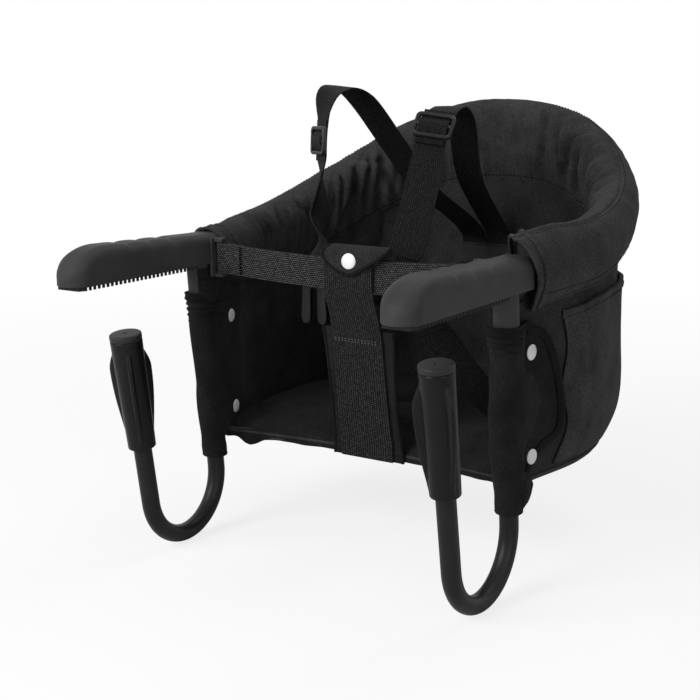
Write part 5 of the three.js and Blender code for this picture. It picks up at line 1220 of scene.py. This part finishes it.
# Rows up the back, over the top and down the front, as (y, z, left edge, right edge)
tab_line = [(TAB_BACK_Y, z, TAB_LEFT, TAB_RIGHT) for z in np.linspace(TAB_BACK_Z, TAB_TOP - tab_radius, 14)]
tab_line += [(*tab_bend(a), TAB_LEFT, TAB_RIGHT) for a in np.linspace(0, math.pi / 2, 8)[1:]]
front_start = len(tab_line)
tab_line += [(*tab_bend(a), *tab_edges(tab_bend(a)[1])) for a in np.linspace(math.pi / 2, math.pi, 8)[1:-1]]
tab_line += [(TAB_FRONT_Y, z, *tab_edges(z)) for z in np.linspace(TAB_TOP - tab_radius, TAB_FRONT_LOW, 26)]
tab_rows = []
step = unit(np.gradient(np.array([t[:2] for t in tab_line]), axis=0))
for (y, z, left, right), (ahead_y, ahead_z) in zip(tab_line, step):
    n = np.array([0, ahead_z, -ahead_y]) * TAB_THICK / 2
    front = np.array([(left + (right - left) * k, y, z) for k in np.linspace(0, 1, 15)])
    tab_rows.append(doubled(front + n, -2 * n))
tab = skin("crotch_tab_cloth", tab_rows, lining_twill, ends="strip")
fit(tab, "crotch_tab")
front_rows = tab_line[front_start:]
bead_path = [(left, y - 0.6, z) for y, z, left, _ in front_rows]
bead_path += [(right, y - 0.6, z) for y, z, _, right in front_rows[::-1]]
fit(sweep("crotch_tab_binding", bead_path, 1.5, binding_tape, 10))
inset = [(left + 4, y - 1.2, z) for y, z, left, _ in front_rows[4:-4]]
inset += [(right - 5, y - 1.2, z) for y, z, _, right in front_rows[-5:3:-1]]
thread = moulded("thread", 0.03, 0.75, 0.4, 0.02, Specular_IOR_Level=0.1)
stitches("tab_stitches", inset, (0, -1, 0), thread, 2.2, 1.4)
tab_spot = np.array([TAB_STUD_X, TAB_FRONT_Y - TAB_THICK / 2 - 0.5, TAB_STUD_Z])
tab_cap = turned_on("tab_cap", CAP, tab_spot, (0.12, -1, 0.1), stud_metal)
fit(tab_cap, "tab_snap_cap")
refinish("tab_snap_stud", stud_metal)

# Harness: shoulder straps of webbing from one seam on the back wall, up over the shoulders and down to
# the buckle halves in front, and a waist strap on each side that runs to the cushion. A patch of the
# lining covers the seam.
HARNESS_HALF, HARNESS_THICK, WALL_SLOPE = 15.0, 1.6, 0.05
SEWN_X, SEWN_APART, SEWN_Z = -17.0, 16.0, -18.0
PATCH_LEFT, PATCH_RIGHT, PATCH_LOW, PATCH_TOP = -54, 20, -30, -3


def sewn_end(side):
    x = SEWN_X + side * SEWN_APART
    def spot(z, clear):
        return (x, wall_point(0.5, z)[1] - WALL_HALF - HARNESS_THICK / 2 - abs(x) * WALL_SLOPE - clear, z)
    return [spot(SEWN_Z, 2.2), spot(SEWN_Z + 13, 2.2), spot(SEWN_Z + 22, 5)]


STRAP_POINTS = {
    "left_shoulder": sewn_end(-1) + [
        (-20, 268, 35), (-32, 216, 68), (-47, 176, 116), (-61, 131, 166), (-64, 100, 178), (-62, 74, 170),
        (-60, 60, 138), (-60, 58, 100), (-58, 56, 70), (-55, 48, 34), (-43, 21, -9)],
    "right_shoulder": sewn_end(1) + [
        (3, 254, 77), (29, 182, 146), (37, 146, 158), (42, 108, 144), (44, 86, 109), (44, 66, 67), (44, 49, 32),
        (44, 38, 1.2)],
    "left_waist": [(-38, 26, -15), (-32, 60, -40), (-30, 110, -100), (-32, 128, -135), (-34, 134, -157.4)],
    "right_waist": [(50, 39, -18), (72, 58, -54), (102, 80, -105), (121, 106, -140), (121, 106, -158.2)],
}
STRAP_WIDTHS = {
    "left_shoulder": (
        (0, 1, WALL_SLOPE, 0), (0.24, 1, 0.1, 0.05), (0.43, 1, 0.15, 0.1), (0.53, 1, 0.2, 0.05),
        (0.62, 0.97, 0, -0.15), (0.69, 0.8, -0.6, 0), (0.765, 0.78, -0.62, 0), (0.81, 0.5, -0.86, 0),
        (0.87, 0, -1, 0), (1, 1, 0.45, 0)),
    "right_shoulder": ((0, 1, 0, 0), (0.5, 1, 0.1, 0), (0.64, 1, 0.4, 0), (1, 1, 0.4, 0)),
    "left_waist": ((0, 1, 0, 0), (1, 1, 0.2, 0)),
    "right_waist": ((0, 0.58, 0.52, 0.58), (1, 0.74, 0.67, 0)),
}


def on_the_way(first, last, start, end, now):
    """The point between two points that belongs to a time between their times."""
    return ((end - now) * first + (now - start) * last) / (end - start)


def smooth_line(points, count):
    """An even curve through points, each span timed by the root of its length."""
    p = np.asarray(points, float)
    p = np.vstack([2 * p[0] - p[1], p, 2 * p[-1] - p[-2]])
    line = []
    for i in range(len(p) - 3):
        t = np.concatenate([[0], np.cumsum(np.linalg.norm(np.diff(p[i:i + 4], axis=0), axis=1) ** 0.5)])
        for now in np.linspace(t[1], t[2], 40, endpoint=i == len(p) - 4):
            first, second, third = (on_the_way(p[i + k], p[i + k + 1], t[k], t[k + 1], now) for k in range(3))
            early = on_the_way(first, second, t[0], t[2], now)
            late = on_the_way(second, third, t[1], t[3], now)
            line.append(on_the_way(early, late, t[1], t[2], now))
    line = np.array(line)
    run = run_along(line)
    even = np.linspace(0, run[-1], count)
    return np.column_stack([np.interp(even, run, line[:, c]) for c in range(3)]), run[-1]


def strap_axes(line, widths, i):
    """Directions along, across and out of a strap whose width turns through rows (share, x, y, z)."""
    turns = np.asarray(widths, float)
    width = np.array([np.interp(i / (len(line) - 1), turns[:, 0], turns[:, c]) for c in (1, 2, 3)])
    ahead = unit(line[min(i + 1, len(line) - 1)] - line[max(i - 1, 0)])
    width = unit(width - ahead * width.dot(ahead))
    return ahead, width, np.cross(ahead, width)


harness_lines = {}
for name, points in STRAP_POINTS.items():
    line, length = smooth_line(points, 110)
    harness_lines[name] = line
    rows = []
    for i, spot in enumerate(line):
        ahead, width, over = strap_axes(line, STRAP_WIDTHS[name], i)
        share = np.linspace(-1, 1, 9)[:, None]
        front = spot + width * share * HARNESS_HALF + over * (HARNESS_THICK / 2 - 0.35 * share ** 2)
        rows.append(doubled(front, -(HARNESS_THICK - 0.2) * over))
    ribbon = skin(f"{name}_webbing", rows, strap_webbing, ends="strip")
    fit(ribbon, f"{name}_strap")

patch_rows = []
for z in np.linspace(PATCH_LOW, PATCH_TOP, 10):
    row = []
    for x in np.linspace(PATCH_LEFT, PATCH_RIGHT, 26):
        full = min(1, (x - PATCH_LEFT) / 5, (PATCH_RIGHT - x) / 5, (z - PATCH_LOW) / 5, (PATCH_TOP - z) / 4)
        lift = 2.4 + 4.0 * math.sin(max(full, 0) * math.pi / 2)
        row.append((x, wall_point(0.5, z)[1] - WALL_HALF - abs(x) * WALL_SLOPE - lift, z))
    patch_rows.append(doubled(row, (0, 1.2, 0)))
patch = skin("harness_patch", patch_rows, lining_twill, ends="strip")
fit(patch)
patch_line = [patch_rows[-2][j] + (0, -0.3, 0) for j in range(2, 24)]
stitches("harness_patch_stitches", patch_line, (0, -1, 0), dark_thread)

# Sliders and buckle halves: moulded nylon. A slider is a flat frame with a middle bar, and the strap
# is laced through it; a buckle half has a bar for the strap and two broad spring prongs.
BUCKLE_THICK, BUCKLE_EDGE = 6.0, 1.1
BUCKLE_EDGES = ((14, 0), (14, -13.6), (14.5, -22), (15.2, -32), (14.4, -37), (12.4, -40), (7.4, -40),
                (5.2, -37.5), (4.2, -33), (4, -6), (2, -4))
BUCKLE_SEATS = {
    "left": lambda across, along, deep: (-43 + across, 20 + deep, -10.4 + along),
    "right": lambda across, along, deep: (44 + along, 38 + deep, -14 - across),
}
SLIDER_SEATS = {"left": 19 / 26, "right": 15 / 22}
LACE_HALF, LACE_THICK = 14.6, 1.3
# The laced webbing's way through a slider, as (along, up)
LACE_WAY = ((-20, -0.9), (-14, -0.9), (-10.6, 0.2), (-7, 2.6), (-3.6, 4.6), (0, 5.2), (3.6, 4.6), (7, 2.6),
            (10.6, 0.2), (14, -0.9), (20, -0.9))


def rounded(half_w, half_h, radius):
    """Outline of a rectangle with round corners."""
    outline = []
    for x, y, start in ((1, 1, 0), (-1, 1, 90), (-1, -1, 180), (1, -1, 270)):
        for a in np.radians(np.linspace(start, start + 90, 5)):
            out, up = radius * math.cos(a), radius * math.sin(a)
            outline.append((x * (half_w - radius) + out, y * (half_h - radius) + up))
    return outline


def buckle_half(name, seat, finish):
    """Two broad prongs on a bar, cut from one outline and rounded along every edge."""
    outline = [*BUCKLE_EDGES, *((-x, y) for x, y in BUCKLE_EDGES[::-1])]
    n = len(outline)
    points = [seat(x, y, deep) for deep in (-BUCKLE_THICK / 2, BUCKLE_THICK / 2) for x, y in outline]
    faces = [tuple(range(n)), tuple(range(2 * n - 1, n - 1, -1))]
    faces += [(k, n + k, n + (k + 1) % n, (k + 1) % n) for k in range(n)]
    return piece(name, points, faces, finish, crease=50, edge_mm=BUCKLE_EDGE)


buckle_nylon = moulded("buckle_nylon", 0.01, 0.4, 0.6, 0.02, Specular_IOR_Level=0.22)
prong_nylon = moulded("prong_nylon", 0.006, 0.4, 0.6, 0.02, Specular_IOR_Level=0.2)
slider_loops = ((rounded(20, 14, 5), 0.0), (rounded(20, 14, 5), 3.0), (rounded(19.2, 13.2, 4.5), 3.9),
                (rounded(17.4, 11.4, 3), 3.9), (rounded(16.6, 10.6, 2.4), 3.2), (rounded(16.6, 10.6, 2.4), 0.0))
for name, side in SIDES:
    line = harness_lines[f"{name}_shoulder"]
    i = round(SLIDER_SEATS[name] * (len(line) - 1))
    ahead, width, over = strap_axes(line, STRAP_WIDTHS[f"{name}_shoulder"], i)
    spot = line[i] + over * 1.5
    rows = [[spot + width * x + ahead * y + over * h for x, y in loop] for loop, h in slider_loops]
    slider = skin(f"{name}_tri_glide", rows, buckle_nylon, wrap=(True, True), ends=None)
    bar_path = [spot + width * x + over * 2.4 for x in np.linspace(-17.5, 17.5, 9)]
    bar = sweep(f"{name}_tri_glide_bar", bar_path, 1.9, buckle_nylon, 14)
    bar.parent = slider
    across = np.linspace(-LACE_HALF, LACE_HALF, 7)[:, None]
    lace = [doubled(spot + width * across + ahead * d + over * h, -LACE_THICK * over) for d, h in LACE_WAY]
    laced = skin(f"{name}_laced_webbing", lace, strap_webbing, ends="strip")
    laced.parent = slider
    fit(slider, f"{name}_slider")
    tail, tail_middles = [], []
    for j in range(i + 6, min(i + 32, len(line) - 4)):
        _, tail_width, tail_over = strap_axes(line, STRAP_WIDTHS[f"{name}_shoulder"], j)
        side_step = 4.5 * min(1, (j - i - 5) / 8)
        middle = line[j] + tail_over * (2.1 + 0.5 * math.sin(j * 0.5)) + tail_width * side_step
        tail_middles.append(middle)
        tail.append(doubled(middle + tail_width * across, -LACE_THICK * tail_over))
    strap_tail = skin(f"{name}_strap_tail", tail, strap_webbing, ends="strip")
    strap_tail.parent = slider
    clip = buckle_half(f"{name}_buckle_half", BUCKLE_SEATS[name], prong_nylon)
    fit(clip, f"{name}_clip")
